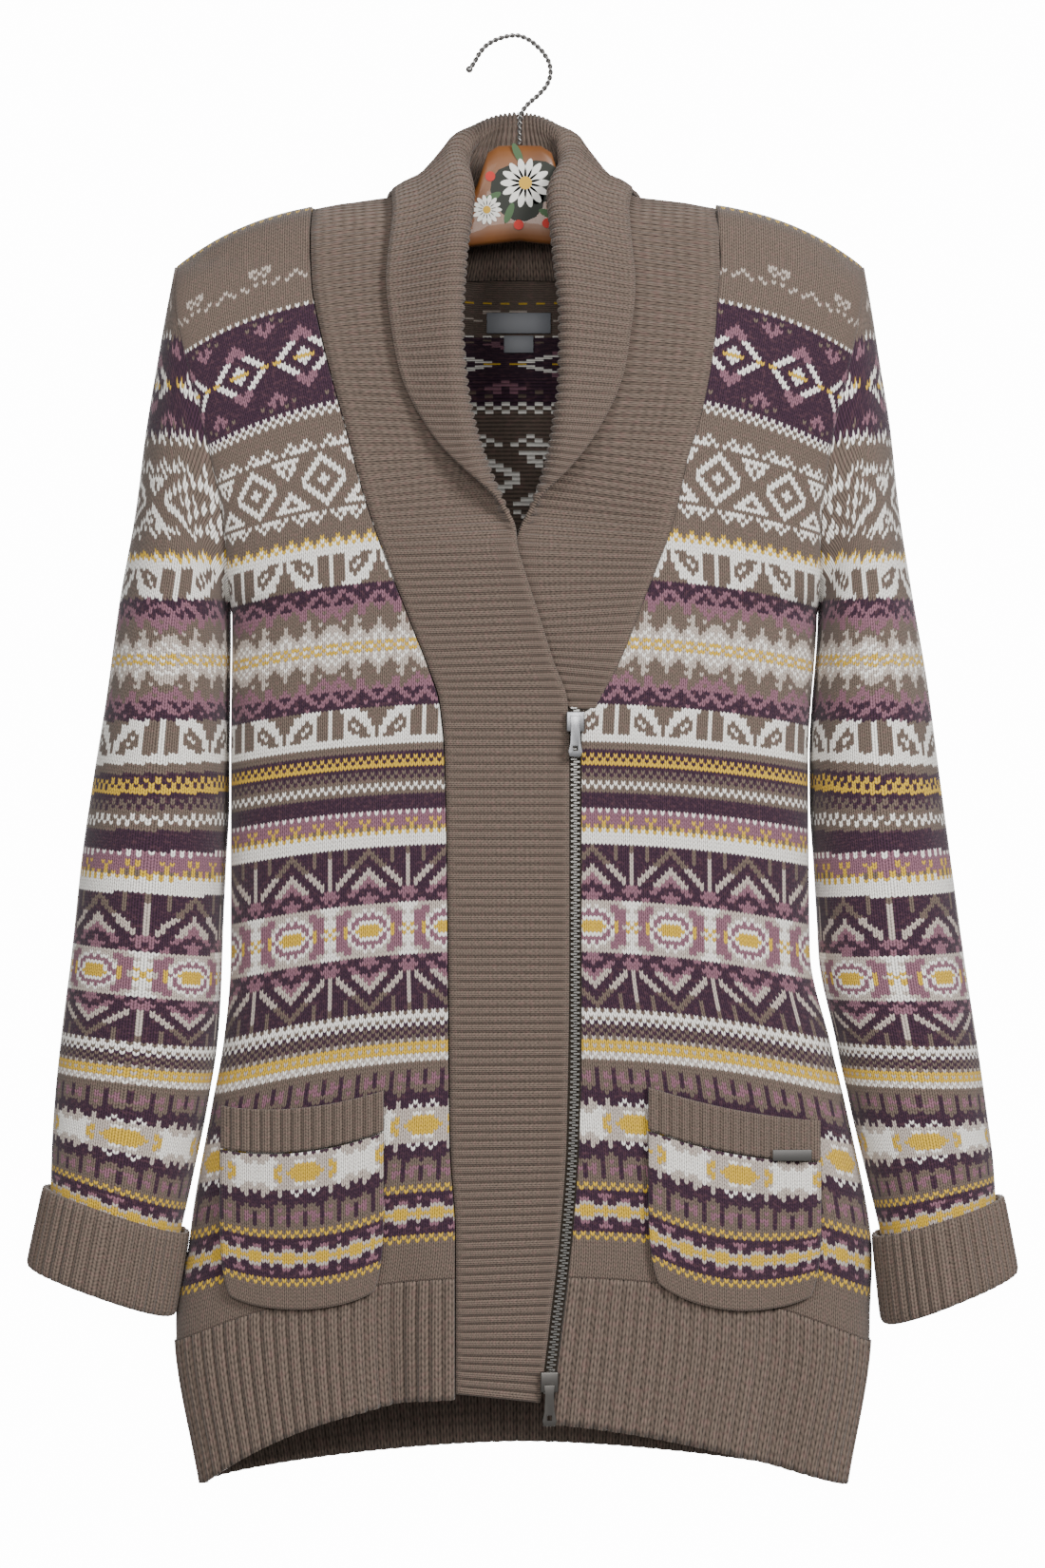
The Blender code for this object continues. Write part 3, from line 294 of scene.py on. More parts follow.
class Layers:
    """Grids of quads gathered into one mesh, with stitch places and two yarn colours for each face."""

    def __init__(self):
        self.points, self.faces, self.stitches, self.yarns, self.slots, self.total = [], [], [], [], [], 0

    def grid(self, points, stitches, yarns=None, flip=False, slot=0):
        rows, columns = points.shape[:2]
        index = np.arange(rows * columns).reshape(rows, columns)
        corners = [(slice(0, -1), slice(0, -1)), (slice(1, None), slice(0, -1)),
                   (slice(1, None), slice(1, None)), (slice(0, -1), slice(1, None))]
        if flip:
            corners.reverse()
        self.faces.append(np.stack([index[c] for c in corners], 2).reshape(-1, 4) + self.total)
        self.stitches.append(np.stack([stitches[c] for c in corners], 2).reshape(-1, 4, 2))
        if yarns is None:
            yarns = np.zeros((rows - 1, columns - 1, 2), int)
        self.yarns.append(yarns.reshape(-1, 2))
        self.slots.append(np.full((rows - 1) * (columns - 1), slot))
        self.points.append(points.reshape(-1, 3))
        self.total += rows * columns

    def sheet(self, points, out, half, stitches, yarns=None, relief=None, closed=False, inner_relief=None):
        """Both sides of a cloth and the rims between them."""
        normal = facing(points, out, closed)
        raised = half + (relief[..., None] if relief is not None else 0.0)
        lowered = half + (inner_relief[..., None] if inner_relief is not None else 0.0)
        outer, inner = points + normal * raised, points - normal * lowered
        flip = out < 0
        self.grid(outer, stitches, yarns, not flip)
        self.grid(inner, stitches, yarns, flip, 1)
        edges = [((0, slice(None)), False), ((-1, slice(None)), True)]
        if not closed:
            edges += [((slice(None), 0), True), ((slice(None), -1), False)]
        for edge, turned in edges:
            rim = np.stack([outer[edge], inner[edge]])
            self.grid(rim, np.stack([stitches[edge]] * 2), None, turned != flip)

    def build(self, name, materials, palette):
        points, faces = np.concatenate(self.points), np.concatenate(self.faces)
        stitches, yarns = np.concatenate(self.stitches), np.concatenate(self.yarns)
        slots = np.concatenate(self.slots)
        kept, inverse = np.unique(np.round(points, 2), axis=0, return_inverse=True)
        faces = inverse.ravel()[faces]
        real = faces != np.roll(faces, -1, axis=1)
        good = real.sum(1) >= 3
        faces, real, stitches, yarns, slots = faces[good], real[good], stitches[good], yarns[good], slots[good]
        totals = real.sum(1)
        mesh = bpy.data.meshes.new(name)
        mesh.vertices.add(len(kept))
        mesh.vertices.foreach_set("co", (kept * 0.001).ravel())
        mesh.loops.add(int(totals.sum()))
        mesh.loops.foreach_set("vertex_index", faces[real])
        mesh.polygons.add(len(faces))
        mesh.polygons.foreach_set("loop_start", np.concatenate(([0], np.cumsum(totals)[:-1])))
        mesh.polygons.foreach_set("material_index", slots)
        mesh.update(calc_edges=True)
        mesh.uv_layers.new(name="stitch").data.foreach_set("uv", stitches[real].ravel())
        for k, label in enumerate(("yarn", "yarn_below")):
            colours = np.array([(*rgb, 1.0) for rgb in palette])[yarns[:, k]]
            layer = mesh.color_attributes.new(name=label, type="FLOAT_COLOR", domain="CORNER")
            layer.data.foreach_set("color", np.repeat(colours, totals, axis=0).ravel())
        mesh.shade_smooth()
        piece = bpy.data.objects.new(name, mesh)
        bpy.context.scene.collection.objects.link(piece)
        for made in materials:
            mesh.materials.append(made)
        return piece


def fixed(piece, node, body="garment"):
    """A piece that stands for a node."""
    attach(piece, body)
    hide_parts(node)
    return piece


def hung(piece, node):
    """A piece of hung cloth that stands for a node."""
    fixed(piece, node)


def linear(*rgb):
    return tuple((c / 255 / 12.92) if c < 11 else ((c / 255 + 0.055) / 1.055) ** 2.4 for c in rgb)


YARNS = {"T": linear(105, 91, 81), "P": linear(56, 33, 50), "M": linear(132, 92, 106),
         "W": linear(250, 246, 238), "G": linear(188, 175, 164), "Y": linear(212, 172, 52)}
LETTERS = "TPMWGY"
PALETTE = [YARNS[letter] for letter in LETTERS]


class Flow:
    """A shader value that can be written in sums."""

    def __init__(self, tree, out):
        self.tree, self.out = tree, out

    def math(self, kind, *others):
        made = self.tree.nodes.new("ShaderNodeMath")
        made.operation = kind
        for k, value in enumerate((self, *others)):
            if isinstance(value, Flow):
                self.tree.links.new(value.out, made.inputs[k])
            else:
                made.inputs[k].default_value = value
        return Flow(self.tree, made.outputs[0])

    def __add__(self, other):
        return self.math("ADD", other)

    def __sub__(self, other):
        return self.math("SUBTRACT", other)

    def __mul__(self, other):
        return self.math("MULTIPLY", other)

    def abs(self):
        return self.math("ABSOLUTE")

    def fract(self):
        return self.math("FRACT")

    def sin(self):
        return self.math("SINE")

    def below(self, other):
        return self.math("LESS_THAN", other)


class Shader:
    """A Principled material and a short way to add nodes to it."""

    def __init__(self, name, roughness=0.9, metallic=0.0):
        self.made = bpy.data.materials.new(name)
        self.made.use_nodes = True
        self.tree = self.made.node_tree
        self.surface = self.tree.nodes["Principled BSDF"]
        self.surface.inputs["Roughness"].default_value = roughness
        self.surface.inputs["Metallic"].default_value = metallic

    def node(self, kind, settings=None, **inputs):
        made = self.tree.nodes.new("ShaderNode" + kind)
        for key, value in (settings or {}).items():
            setattr(made, key, value)
        for key, value in inputs.items():
            socket = made.inputs[key.replace("_", " ")]
            if isinstance(value, Flow):
                self.tree.links.new(value.out, socket)
            else:
                socket.default_value = value
        return made

    def flow(self, made, output=0):
        return Flow(self.tree, made.outputs[output])

    def mix(self, factor, a, b, blend="MIX"):
        made = self.tree.nodes.new("ShaderNodeMix")
        made.data_type = "RGBA"
        made.blend_type = blend
        for socket, value in ((made.inputs[0], factor), (made.inputs[6], a), (made.inputs[7], b)):
            if isinstance(value, Flow):
                self.tree.links.new(value.out, socket)
            elif isinstance(value, tuple):
                socket.default_value = (*value, 1)
            else:
                socket.default_value = value
        return Flow(self.tree, made.outputs[2])

    def link(self, value, name):
        self.tree.links.new(value.out, self.surface.inputs[name])


def knit_material(name, wrong_side=False, vee=0.62, bump=0.55, heather=0.16):
    """Yarn colours from the mesh, cut to V-shaped stitches whose legs stand up as a bump; painted shade fills
    the hollows.
    """
    shader = Shader(name, 0.88)
    uv = shader.node("UVMap", {"uv_map": "stitch"})
    split = shader.node("SeparateXYZ", Vector=shader.flow(uv))
    u, v = shader.flow(split, 0), shader.flow(split, 1)
    off = (u.fract() * 2.0 - 1.0).abs()
    own = shader.flow(shader.node("Attribute", {"attribute_name": "yarn"}))
    below = shader.flow(shader.node("Attribute", {"attribute_name": "yarn_below"}))
    noise = shader.node("TexNoise", {"noise_dimensions": "2D"}, Vector=shader.flow(uv), Scale=1.7, Detail=3.0)
    fleck = shader.flow(noise)
    if wrong_side:
        bars = (v * (2 * math.pi)).sin() * 0.5 + 0.5
        colour, height = own, bars + (u * math.pi).sin().abs() * 0.4
        # Painted shade: the colour darkens between the floats' bars.
        shade = bars * 0.5 + 0.45
    else:
        lift = off * vee
        colour = shader.mix(v.fract().below(lift), own, below)
        along = ((v - lift).fract() * math.pi).sin()
        legs = (off * math.pi).sin()
        height = legs * 0.75 + along * 0.35 + fleck * 0.15
        # Painted shade: the colour darkens in the hollows between and along the stitches' legs.
        shade = height * 1.05 + 0.07
    # Painted shade plus the yarn's own random heather flecks, multiplied into the colour below.
    shade_and_heather = shade + fleck * heather * 2.0 - heather
    rgb = shader.node("CombineColor")
    for k in range(3):
        shader.tree.links.new(shade_and_heather.out, rgb.inputs[k])
    colour = shader.mix(1.0, colour, shader.flow(rgb), "MULTIPLY")
    clouds = shader.node("TexNoise", {"noise_dimensions": "2D"}, Vector=shader.flow(uv), Scale=0.9)
    warm = shader.flow(clouds)
    colour = shader.mix((warm - 0.5).math("MULTIPLY", 0.5).math("MAXIMUM", 0.0), colour, linear(160, 110, 110))
    shader.link(colour, "Base Color")
    raised = shader.node("Bump", Strength=bump, Distance=0.0009, Height=height)
    shader.link(shader.flow(raised), "Normal")
    shader.surface.inputs["Specular IOR Level"].default_value = 0.25
    shader.surface.inputs["Sheen Weight"].default_value = 0.15
    return shader.made


JACQUARD = [knit_material("jacquard_knit", heather=0.24),
            knit_material("jacquard_floats", wrong_side=True, bump=0.7)]
RIBBED = [knit_material("ribbed_knit", heather=0.3), knit_material("ribbed_knit_inside", heather=0.3)]

# Charts of half a repeat, mirrored about both end stitches: T taupe, P aubergine, M mauve, W cream,
# G grey-beige and Y yellow.
SHOULDER = ["T", "YT"] + ["T"] * 14
BLOSSOM = "TTTTTTGGT TTTTTTGTG TTTTTTTGT GTTTTTTTT TGTTGTTGT TTGTTGTTT T T".split()
VEES = ["WT"]
DIAMONDS = ("P PPPPPPTPP PPPPTPPMP PPPPPPMMP PPPPPPPMM MPPPPPPPM MMPPPPPPP MMMPPPPPP PMMPPPPPP PPWWPPPPP "
            "PPPWWPPPP WPPPWWPPP WWPPPWWPP YYYPPPYYP").split()
DOUBLE_VEES = "WP TW WT".split()
STARS = "TTTWTT TTWTWT TWTWWW".split()
OUTLINES = ("WTTTTTWWWW WWTTTTTWTW TWWTTTTWWT TTWWTTTTWT TTTWWTTTTW WTTTWWTTTT WWTTTWTTTT WTTTWWTTTT "
            "TTTWWTTTTW TTWWTTTTWW TWWTTTTWWT WWTTTTWWTT WTTTTWWWWW TTTTTTTTTT").split()
PEAKS = "TTYTT TYWYT YWYWY WWWWW".split()
LEAVES = ("WTTTWWWWTTTWT WTTTWWTTTTWWT WTTTWTTWTTWWT WTTTWTWTTWWTT WTTTWTTTWWWTT WTTTWWTWWWTTT "
          "WTTTWWWWWWTTT WTTWWWWWTTTTT").split()
MOTTLED = ("PPPPPPMPPPPPM PPMMPPPPPMPPP PMMPMMPPPPPMM MMPPPMMPPPMMP MPPMPPMMPMMPP MMMMMMTMMMTMM "
           "MMTMMTTMMTTTM TMMMTTTMMTTTT TTMTTTGTTTTTT TTTGTTGGTTTTG").split()
MIST = ("GGTTTTGTTTTTG GGGTTGGGTTTGG GWGGTGGWGTGGW WGWGGGWGGGGWG GWGWGWGWGWGWG YYGYYGYYGYYGY "
        "GWYGWYGWYGWYG").split()
PINSTRIPE = "T T P YP PY Y P PT TP T WT TW T P P P P".split()
SPROUTS = "WM M MMYM MMMY MYTY YWYW W W W".split()
BURST = ("TPPPTPPPPPT TPPPTPPPPTT GPPPTPPPTTP GPPPTPPTTPP GPPPPPTTPPP GPPPPGGPPPG GPPPGGPPPGG "
         "GPPGGPPPGGM GPGGPPPGGMM GPGPPPGGMMP MMPPPPMMPPP MMMPPMMPPPM PMPPPPPPMMM MPPMMPPPPMM").split()
ROSETTES = "WWWGGGGGGGG WWGGMMGGGWG WGMMMMGWWMW WWMMMGWMMMM WWMMMWMMWWW WYMMYWMWYYY YWGMYMWYYYY".split()
TEETH = "WT W TW WP PT TP PT GT Y GY Y WG GW T".split()
UPRIGHTS = ("T PTTTPTTTPTTTP PTMTPTMTPTMTP PTMMPMMTPTMMP PMMTPTTTPTMTP TTTTPTMTPTTTT PTTPPTTTPPTPP "
            "PPPPPPTPPPPPP P").split()
LOZENGES = ("PPWPPPGPPPGPP PWPWPPGPPGGPG GGGGGGGGWGGGG GWWGGGGWWWGGW YYYGGGYGWWWWW YYYYGGYYWWWWW "
            "YYYYYGGYWWWWW").split()
WAVES = "YT TY PPPPPPPPP MMPPPPPPM MPPPMMPPP GPPGGGPPG YGGYYYGGY YYYYYYYYY".split()


def mirrored(rows):
    return rows + rows[-2::-1]


BANDS = (SHOULDER + BLOSSOM + ["T"] * 5 + VEES + mirrored(DIAMONDS) + DOUBLE_VEES + ["T"] * 5 + STARS
         + ["T"] + OUTLINES + STARS[::-1] + ["T"] * 3 + PEAKS + ["W"] + LEAVES + MOTTLED + mirrored(MIST)
         + MOTTLED[::-1] + LEAVES[::-1] + ["W", "W"] + PINSTRIPE + SPROUTS + BURST + mirrored(ROSETTES)
         + BURST[::-1] + TEETH
         + UPRIGHTS + mirrored(LOZENGES) + UPRIGHTS[::-1] + WAVES + WAVES[-2::-1] + ["T"] * 12)


def charted(numbers, middle):
    """Palette numbers of a panel's stitches, and of those below them, from the chart row of each."""
    made = np.zeros(numbers.shape, int)
    for (r, c), number in np.ndenumerate(numbers):
        half = BANDS[min(number, len(BANDS) - 1)]
        whole = half + half[-2:0:-1]
        made[r, c] = LETTERS.index(whole[(c - middle) % len(whole)])
    return np.stack([made[:-1], made[1:]], axis=2)


def straight(first_row, rows, columns):
    """Chart rows of a panel that is knitted straight down from one chart row."""
    return np.broadcast_to(first_row + np.arange(rows + 1)[:, None], (rows + 1, columns))


ROW_COUNT = 282
BACK_COLUMNS = 168
YOKE_ROWS = 12           # plain rows under the back's neck, with one dashed row below them
coarse = sampled(back_point, (-1, 1), (0, 1), (57, 81))
back = fine(coarse, np.linspace(-0.998, 0.998, BACK_COLUMNS + 1), np.linspace(0.0, 1.0, ROW_COUNT + 1))
cloth = Layers()
numbers = np.array(straight(0, ROW_COUNT, BACK_COLUMNS))
numbers[:YOKE_ROWS] = len(SHOULDER) - 1
numbers[YOKE_ROWS] = SHOULDER.index("YT")
cloth.sheet(back, 1, WALL / 2, places(back), charted(numbers, BACK_COLUMNS // 2))
piece = cloth.build("knitted_back", JACQUARD, PALETTE)
hung(piece, "back")

# ================================================================ fronts
# The two stranded front panels; their stitch columns run on under the collar's slanting seam.
# Each is sewn to the collar or the zip's tape on its inner edge and to the back on its outer one.


def clipped_front(way, hem, columns, rows):
    """A front's points; columns that fall inside the neck's seam are drawn together on it."""
    coarse = sampled(lambda u, v: front_point(u, v, way, hem), (0, 1), (0, 1), (41, 91))
    downs = np.linspace(0.0, 1.0, rows + 1)
    starts = fine(coarse, np.array([0.0]), downs)[:, 0]
    inner = []
    for x, _, z in starts:
        reach = abs(x - track(BODY, "z", "centre", z)) / track(BODY, "z", "half", z)
        inner.append(np.interp(reach, ARC_OUT, ARC_ALONG))
    inner = np.array(inner)[:, None]
    along = np.linspace(0, 1, columns + 1)[None, :]
    across = np.clip((along - inner) / (1 - inner), 0, 0.998)
    return fine(coarse, across, downs)


FRONT_COLUMNS = 84
FRONT_MIDDLE = 48        # column that the charts are mirrored about
ARMHOLE_COLUMN = 66      # column that runs down beside the armhole
for side, way in (("right", -1), ("left", 1)):
    points = clipped_front(way, side, FRONT_COLUMNS, ROW_COUNT)
    cloth = Layers()
    numbers = straight(0, ROW_COUNT, FRONT_COLUMNS)
    cloth.sheet(points, -way, WALL / 2, places(points), charted(numbers, FRONT_MIDDLE))
    piece = cloth.build("knitted_front_" + side, JACQUARD, PALETTE)
    hung(piece, "front_" + side)
FRONT_LEVELS = points[:, ARMHOLE_COLUMN, 2]   # heights of the rows there

# ================================================================ hems
# The deep ribbed hem of each panel, with real ribs on both of its faces.
# Each is knitted on from its panel's last row.
RIB_SAMPLES = 8          # columns of points across each rib
HEM_RIB = 2.6            # height of the hem's ribs
HEM_FRONT_RIBS, HEM_BACK_RIBS = 25, 56


def ribs(shape, pitch_samples, height, axis=1, start=0):
    """Relief of rounded ribs with narrow grooves along one axis of a grid."""
    k = (np.arange(shape[axis]) + start) / pitch_samples
    wave = height * (np.abs(np.sin(np.pi * k)) ** 0.7 - 0.35)
    return np.broadcast_to(wave[:, None] if axis == 0 else wave[None, :], shape)


def ribbed_sheet(name, coarse, across, down, pitch_samples, out, half, height, pitch_stitches=2.0):
    points = fine(coarse, across, down)
    relief = ribs(points.shape[:2], pitch_samples, height)
    inside = ribs(points.shape[:2], pitch_samples, height, start=pitch_samples // 2)
    cloth = Layers()
    cloth.sheet(points, out, half, places(points, pitch_stitches / pitch_samples), None, relief, False, inside)
    return cloth.build(name, RIBBED, PALETTE)


for side, way in (("right", -1), ("left", 1)):
    coarse = sampled(lambda u, v: front_point(u, v, way, side), (0, 1), (1, 2), (41, 17))
    piece = ribbed_sheet("hem_rib_" + side, coarse, np.linspace(0, 0.994, HEM_FRONT_RIBS * RIB_SAMPLES + 1),
                         np.linspace(0, 1, 19), RIB_SAMPLES, -way, WALL / 2 - 0.3, HEM_RIB)
    hung(piece, "hem_front_" + side)
coarse = sampled(back_point, (-1, 1), (1, 2), (81, 9))
piece = ribbed_sheet("hem_rib_back", coarse, np.linspace(0.003, 0.997, HEM_BACK_RIBS * RIB_SAMPLES + 1),
                     np.linspace(0, 1, 21), RIB_SAMPLES, 1, WALL / 2 - 0.3, HEM_RIB)
hung(piece, "hem_back")

# ================================================================ sleeves
# Two tubes of stranded knit, one quad for each stitch, with the seam under the arm.
# Each is sewn round its armhole, just clear of the body's side.

# Rings of each sleeve: outer edge, height of the edge beside the body and how far it clears the body,
# half the depth from front to back, and how far the ring sits back.
RINGS = {
    "s":       (0, 0.04, 0.10, 0.18, 0.26, 0.34, 0.44, 0.52, 0.60, 0.70, 0.80, 0.88, 0.95, 1.0),
    "clear":   (1.0, 3.6, 3.8, 3.8, 3.8, 3.8, 3.8, 3.9, 6.0, 8.0, 6.2, 5.0, 5.8, 8.5),
    "inner_z": (-342, -343, -345, -349, -356, -372, -415, -455, -498, -555, -602, -645, -686, -722),
    "depth":   (47, 48, 48, 48, 48, 48, 47, 46, 44, 41, 37, 33, 30, 28),
    "shift":   (0, 0, 0, 0, 0, 0, 0, 0, -1, -3, -6, -9, -11, -12),
}
SLEEVE = {
    "right": {
        **RINGS,
        "outer_x": (-204.5, -210.5, -214.5, -221.5, -228.0, -237, -246, -253.5, -260, -266, -271.5, -275.5,
                    -277.3, -278.0),
        "outer_z": (-138, -170, -193, -235, -285, -335, -399, -445, -490, -547, -593, -633, -665, -694),
    },
    "left": {
        **RINGS,
        "outer_x": (205.5, 211, 214.5, 221, 226.5, 233.5, 243.5, 249.5, 257, 265.5, 273, 278.5, 282, 283.5),
        "outer_z": (-140, -172, -194, -235, -285, -330, -388, -433, -490, -553, -604, -645, -674, -700),
    },
}
SLEEVE_BLEND = 0.16
TUBE_POWER = 2.3
CUFF_RIBS = 36
CUFF = {      # middle of the turned-up cuff's ring: outer and inner edge at its top and its fold
    "right": {"s": (0, 1), "outer_x": (-277.5, -287.5), "outer_z": (-688, -735),
              "inner_x": (-202.5, -210.5), "inner_z": (-714, -763)},
    "left": {"s": (0, 1), "outer_x": (283.5, 292.0), "outer_z": (-694, -739),
             "inner_x": (217.0, 222.5), "inner_z": (-716, -768)},
}
CUFF_DEPTH = (29.0, 31.0)
CUFF_SHIFT = -12.0


def squared(value, power):
    return math.copysign(abs(value) ** (2 / power), value)


def sleeve_tube(phi, s, hand):
    """Point of the sleeve's plain tube, before it is joined to the armhole."""
    table = SLEEVE[hand]
    way = -1 if hand == "right" else 1
    row = {name: track(table, "s", name, s) for name in table if name != "s"}
    inner_x = side_x(row["inner_z"], way) + way * row["clear"]
    c, d = squared(math.cos(phi), TUBE_POWER), squared(math.sin(phi), TUBE_POWER)
    mid_x, half_x = (row["outer_x"] + inner_x) / 2, (row["outer_x"] - inner_x) / 2
    mid_z, half_z = (row["outer_z"] + row["inner_z"]) / 2, (row["outer_z"] - row["inner_z"]) / 2
    return Vector((mid_x + half_x * c, row["shift"] - row["depth"] * d, mid_z + half_z * c))


def sleeve_point(phi, s, hand):
    """Point of a sleeve: phi goes round from the shoulder (0) by the front, s down from the armhole."""
    tube = sleeve_tube(phi, s, hand)
    if s >= SLEEVE_BLEND:
        return tube
    way = -1 if hand == "right" else 1
    middle = (ARMHOLE_TOP + ARMHOLE_BOTTOM) / 2
    z = middle + (ARMHOLE_TOP - ARMHOLE_BOTTOM) / 2 * squared(math.cos(phi), TUBE_POWER)
    side = -1 if math.sin(phi) >= 0 else 1
    under = ((1 - math.cos(phi)) / 2) ** 4
    away = 0.3 + 0.8 * under
    loop = Vector((side_x(z, way) + way * away, side * armhole_depth(z), z))
    k = s / SLEEVE_BLEND
    return tube + (loop - sleeve_tube(phi, 0.0, hand)) * (1 - k * k * (3 - 2 * k))


def cuff_point(phi, s, hand):
    table = CUFF[hand]
    row = {name: table[name][0] + (table[name][1] - table[name][0]) * s for name in table if name != "s"}
    depth = CUFF_DEPTH[0] + (CUFF_DEPTH[1] - CUFF_DEPTH[0]) * s
    c, d = squared(math.cos(phi), TUBE_POWER), squared(math.sin(phi), TUBE_POWER)
    mid_x, half_x = (row["outer_x"] + row["inner_x"]) / 2, (row["outer_x"] - row["inner_x"]) / 2
    mid_z, half_z = (row["outer_z"] + row["inner_z"]) / 2, (row["outer_z"] - row["inner_z"]) / 2
    return Vector((mid_x + half_x * c, CUFF_SHIFT - depth * d, mid_z + half_z * c))


SLEEVE_ROWS, SLEEVE_COLUMNS = 246, 96
SLEEVE_START = 22        # chart row that the sleeve's count from the top starts on
FRONT_COLUMN = 72        # the column that runs down the sleeve's front
LEVEL_PART, LEVEL_FADE = 0.35, 0.4   # part of the sleeve with level bands, and the change after it
for hand in ("right", "left"):
    coarse = sampled(lambda phi, s: sleeve_point(math.pi * (1 + 2 * phi), s, hand), (0, 1), (0, 1), (97, 61))
    front_line = coarse[:, FRONT_COLUMN]
    steps = np.linalg.norm(np.diff(front_line, axis=0), axis=1)
    along = np.concatenate(([0.0], np.cumsum(steps))) / steps.sum()
    down = np.interp(np.linspace(0, 0.996, SLEEVE_ROWS + 1), along, np.linspace(0, 1, 61))
    points = fine(coarse, np.linspace(0, 1, SLEEVE_COLUMNS + 1), down)
    points[:, -1] = points[:, 0]
    # The bands lie level with the front's at the shoulder and follow the sleeve's own rows further down.
    level = np.interp(-points[:, :-1, 2], -FRONT_LEVELS, np.arange(len(FRONT_LEVELS)))
    share = np.clip((np.arange(SLEEVE_ROWS + 1) / SLEEVE_ROWS - LEVEL_PART) / LEVEL_FADE, 0, 1)[:, None]
    share = share * share * (3 - 2 * share)
    own = straight(SLEEVE_START, SLEEVE_ROWS, SLEEVE_COLUMNS)
    numbers = np.rint(level * (1 - share) + own * share).astype(int)
    cloth = Layers()
    cloth.sheet(points, -1 if hand == "right" else 1, WALL / 2, places(points),
                charted(numbers, FRONT_COLUMN), closed=True)
    piece = cloth.build("knitted_sleeve_" + hand, JACQUARD, PALETTE)
    hung(piece, "sleeve_" + hand)

# ================================================================ cuffs
# Deep ribbed cuffs, each knitted on from its sleeve, folded once and turned up outside it.
CUFF_PROFILE = (
    # distance down the cuff, depth out from its middle surface, share of the ribs' height
    (0.00, 3.2, 0), (0.00, 5.0, 1), (0.12, 5.4, 1), (0.3, 5.4, 1), (0.5, 5.4, 1), (0.7, 5.4, 1), (0.86, 5.4, 1),
    (0.95, 5.2, 1), (0.995, 4.4, 1), (1.015, 3.0, 0.7), (1.01, 1.2, 0.3), (0.97, -0.6, 0.2), (0.9, -1.0, 0.2),
    (0.7, -1.0, 0.2), (0.42, -1.0, 0), (0.42, 1.2, 0), (0.7, 1.2, 0), (0.93, 1.3, 0), (0.93, 3.0, 0),
    (0.5, 3.1, 0), (0.00, 3.2, 0),
)
CUFF_RIB = 2.4           # height of the cuff's ribs
ROW_HEIGHT = 2.25        # height of one row of its stitches
for hand in ("right", "left"):
    columns = CUFF_RIBS * RIB_SAMPLES
    rings = []
    for s, depth, share in CUFF_PROFILE:
        line = np.array([[cuff_point(2 * math.pi * k / columns, t, hand) for k in range(columns + 1)]
                         for t in (s - 0.01, s, s + 0.01)])
        normal = facing(line, -1 if hand == "right" else 1, closed=True)[1]
        height = CUFF_RIB * np.abs(np.sin(np.pi * np.arange(columns + 1) / RIB_SAMPLES)) ** 0.7 - CUFF_RIB / 2
        rings.append(line[1] + normal * (depth + share * height)[:, None])
    points = np.array(rings)
    points[:, -1] = points[:, 0]
    lengths = np.concatenate(([0.0], np.cumsum(np.linalg.norm(np.diff(points[:, 0], axis=0), axis=1))))
    stitches = places(points, 0.25)
    stitches[..., 1] = -lengths[:, None] / ROW_HEIGHT
    cloth = Layers()
    cloth.grid(points, stitches, flip=hand == "right")
    piece = cloth.build("turned_cuff_" + hand, RIBBED, PALETTE)
    hung(piece, "cuff_" + hand)

# ================================================================ shawl collar and band
# One ribbed strip for each side, with its ribs across it: a flat band beside the zip, then a roll
# that folds over at the neck and falls outside. It is sewn to the fronts and the back's neck.
COLLAR_RIGHT = (
    # seam_x, seam_z, side, roll_x, roll_y, roll_z, curl, radius, sag, out_x, out_y, out_z
    (-36.6, -806.0, -1, 12.6, -49.5, -811.0, 0, 6, 0, 0, -1, 0),
    (-36.6, -768.0, -1, 17.9, -51.2, -767.0, 0, 6, 0, 0, -1, 0),
    (-36.6, -713.0, -1, 24.3, -52.7, -711.0, 0, 6, 0, 0, -1, 0),
    (-39.9, -657.0, -1, 28.1, -54.6, -656.0, 0, 6, 0, 0, -1, 0),
    (-40.9, -545.0, -1, 29.7, -58.2, -545.0, 0, 6, 0, 0, -1, 0),
    (-43.1, -428.0, -1, 29.7, -58.4, -428.0, 0, 6, 0, 0, -1, 0),
    (-46.8, -399.0, -1, 28.6, -59.0, -399.0, 0, 6, 0, 0, -1, 0),
    (-54.2, -379.0, -1, 21.0, -60.2, -377.0, 0, 6, 0, 0, -1, 0),
    (-64.2, -352.0, -1, 12.4, -60.8, -350.0, 0, 6, 0, 0, -1, 0),
    (-78.6, -313.0, -1, -0.4, -61.5, -311.0, 1, 10, 0, 0, -1, 0),
    (-85.0, -295.0, -1, -6.5, -61.5, -291.0, 12, 9, 0, 0, -1, 0),
    (-92.4, -273.0, -1, -17.5, -61.0, -265.0, 28, 8, 0, 0, -1, 0),
    (-100.7, -240.0, -1, -25.4, -60.0, -242.0, 42, 7, 0, 0, -1, 0),
    (-109.1, -210.0, -1, -31.5, -58.5, -212.0, 52, 6.5, 0, 0, -1, 0),
    (-116.0, -184.0, -1, -34.0, -57.0, -178.0, 58, 7, 1, 0, -1, 0),
    (-122.0, -149.0, -1, -32.0, -51.0, -136.0, 64, 7, 3, 0, -1, 0.1),
    (-123.0, -118.0, -1, -28.5, -30.0, -98.0, 64, 6.5, 8, -0.1, -0.8, 0.6),
    (-122.6, -101.8, 1, -33.0, 0.0, -72.0, 62, 6, 14, -0.4, 0.0, 1),
    (-117.0, -103.2, 1, -33.0, 4.0, -68.5, 66, 6.3, 14, -0.5, 0.2, 1),
    (-102.0, -114.6, 1, -31.0, 15.0, -57.0, 84, 7, 12, -0.5, 0.5, 0.7),
    (-70.0, -130.8, 1, -24.0, 26.0, -49.0, 104, 8, 6, -0.35, 0.9, 0.3),
    (-34.0, -139.0, 1, -12.0, 31.0, -43.0, 112, 8.5, 2, -0.15, 1, 0.1),
    (-1.0, -138.7, 1, -1.0, 32.0, -41.0, 114, 9, 0, 0, 1, 0),
)
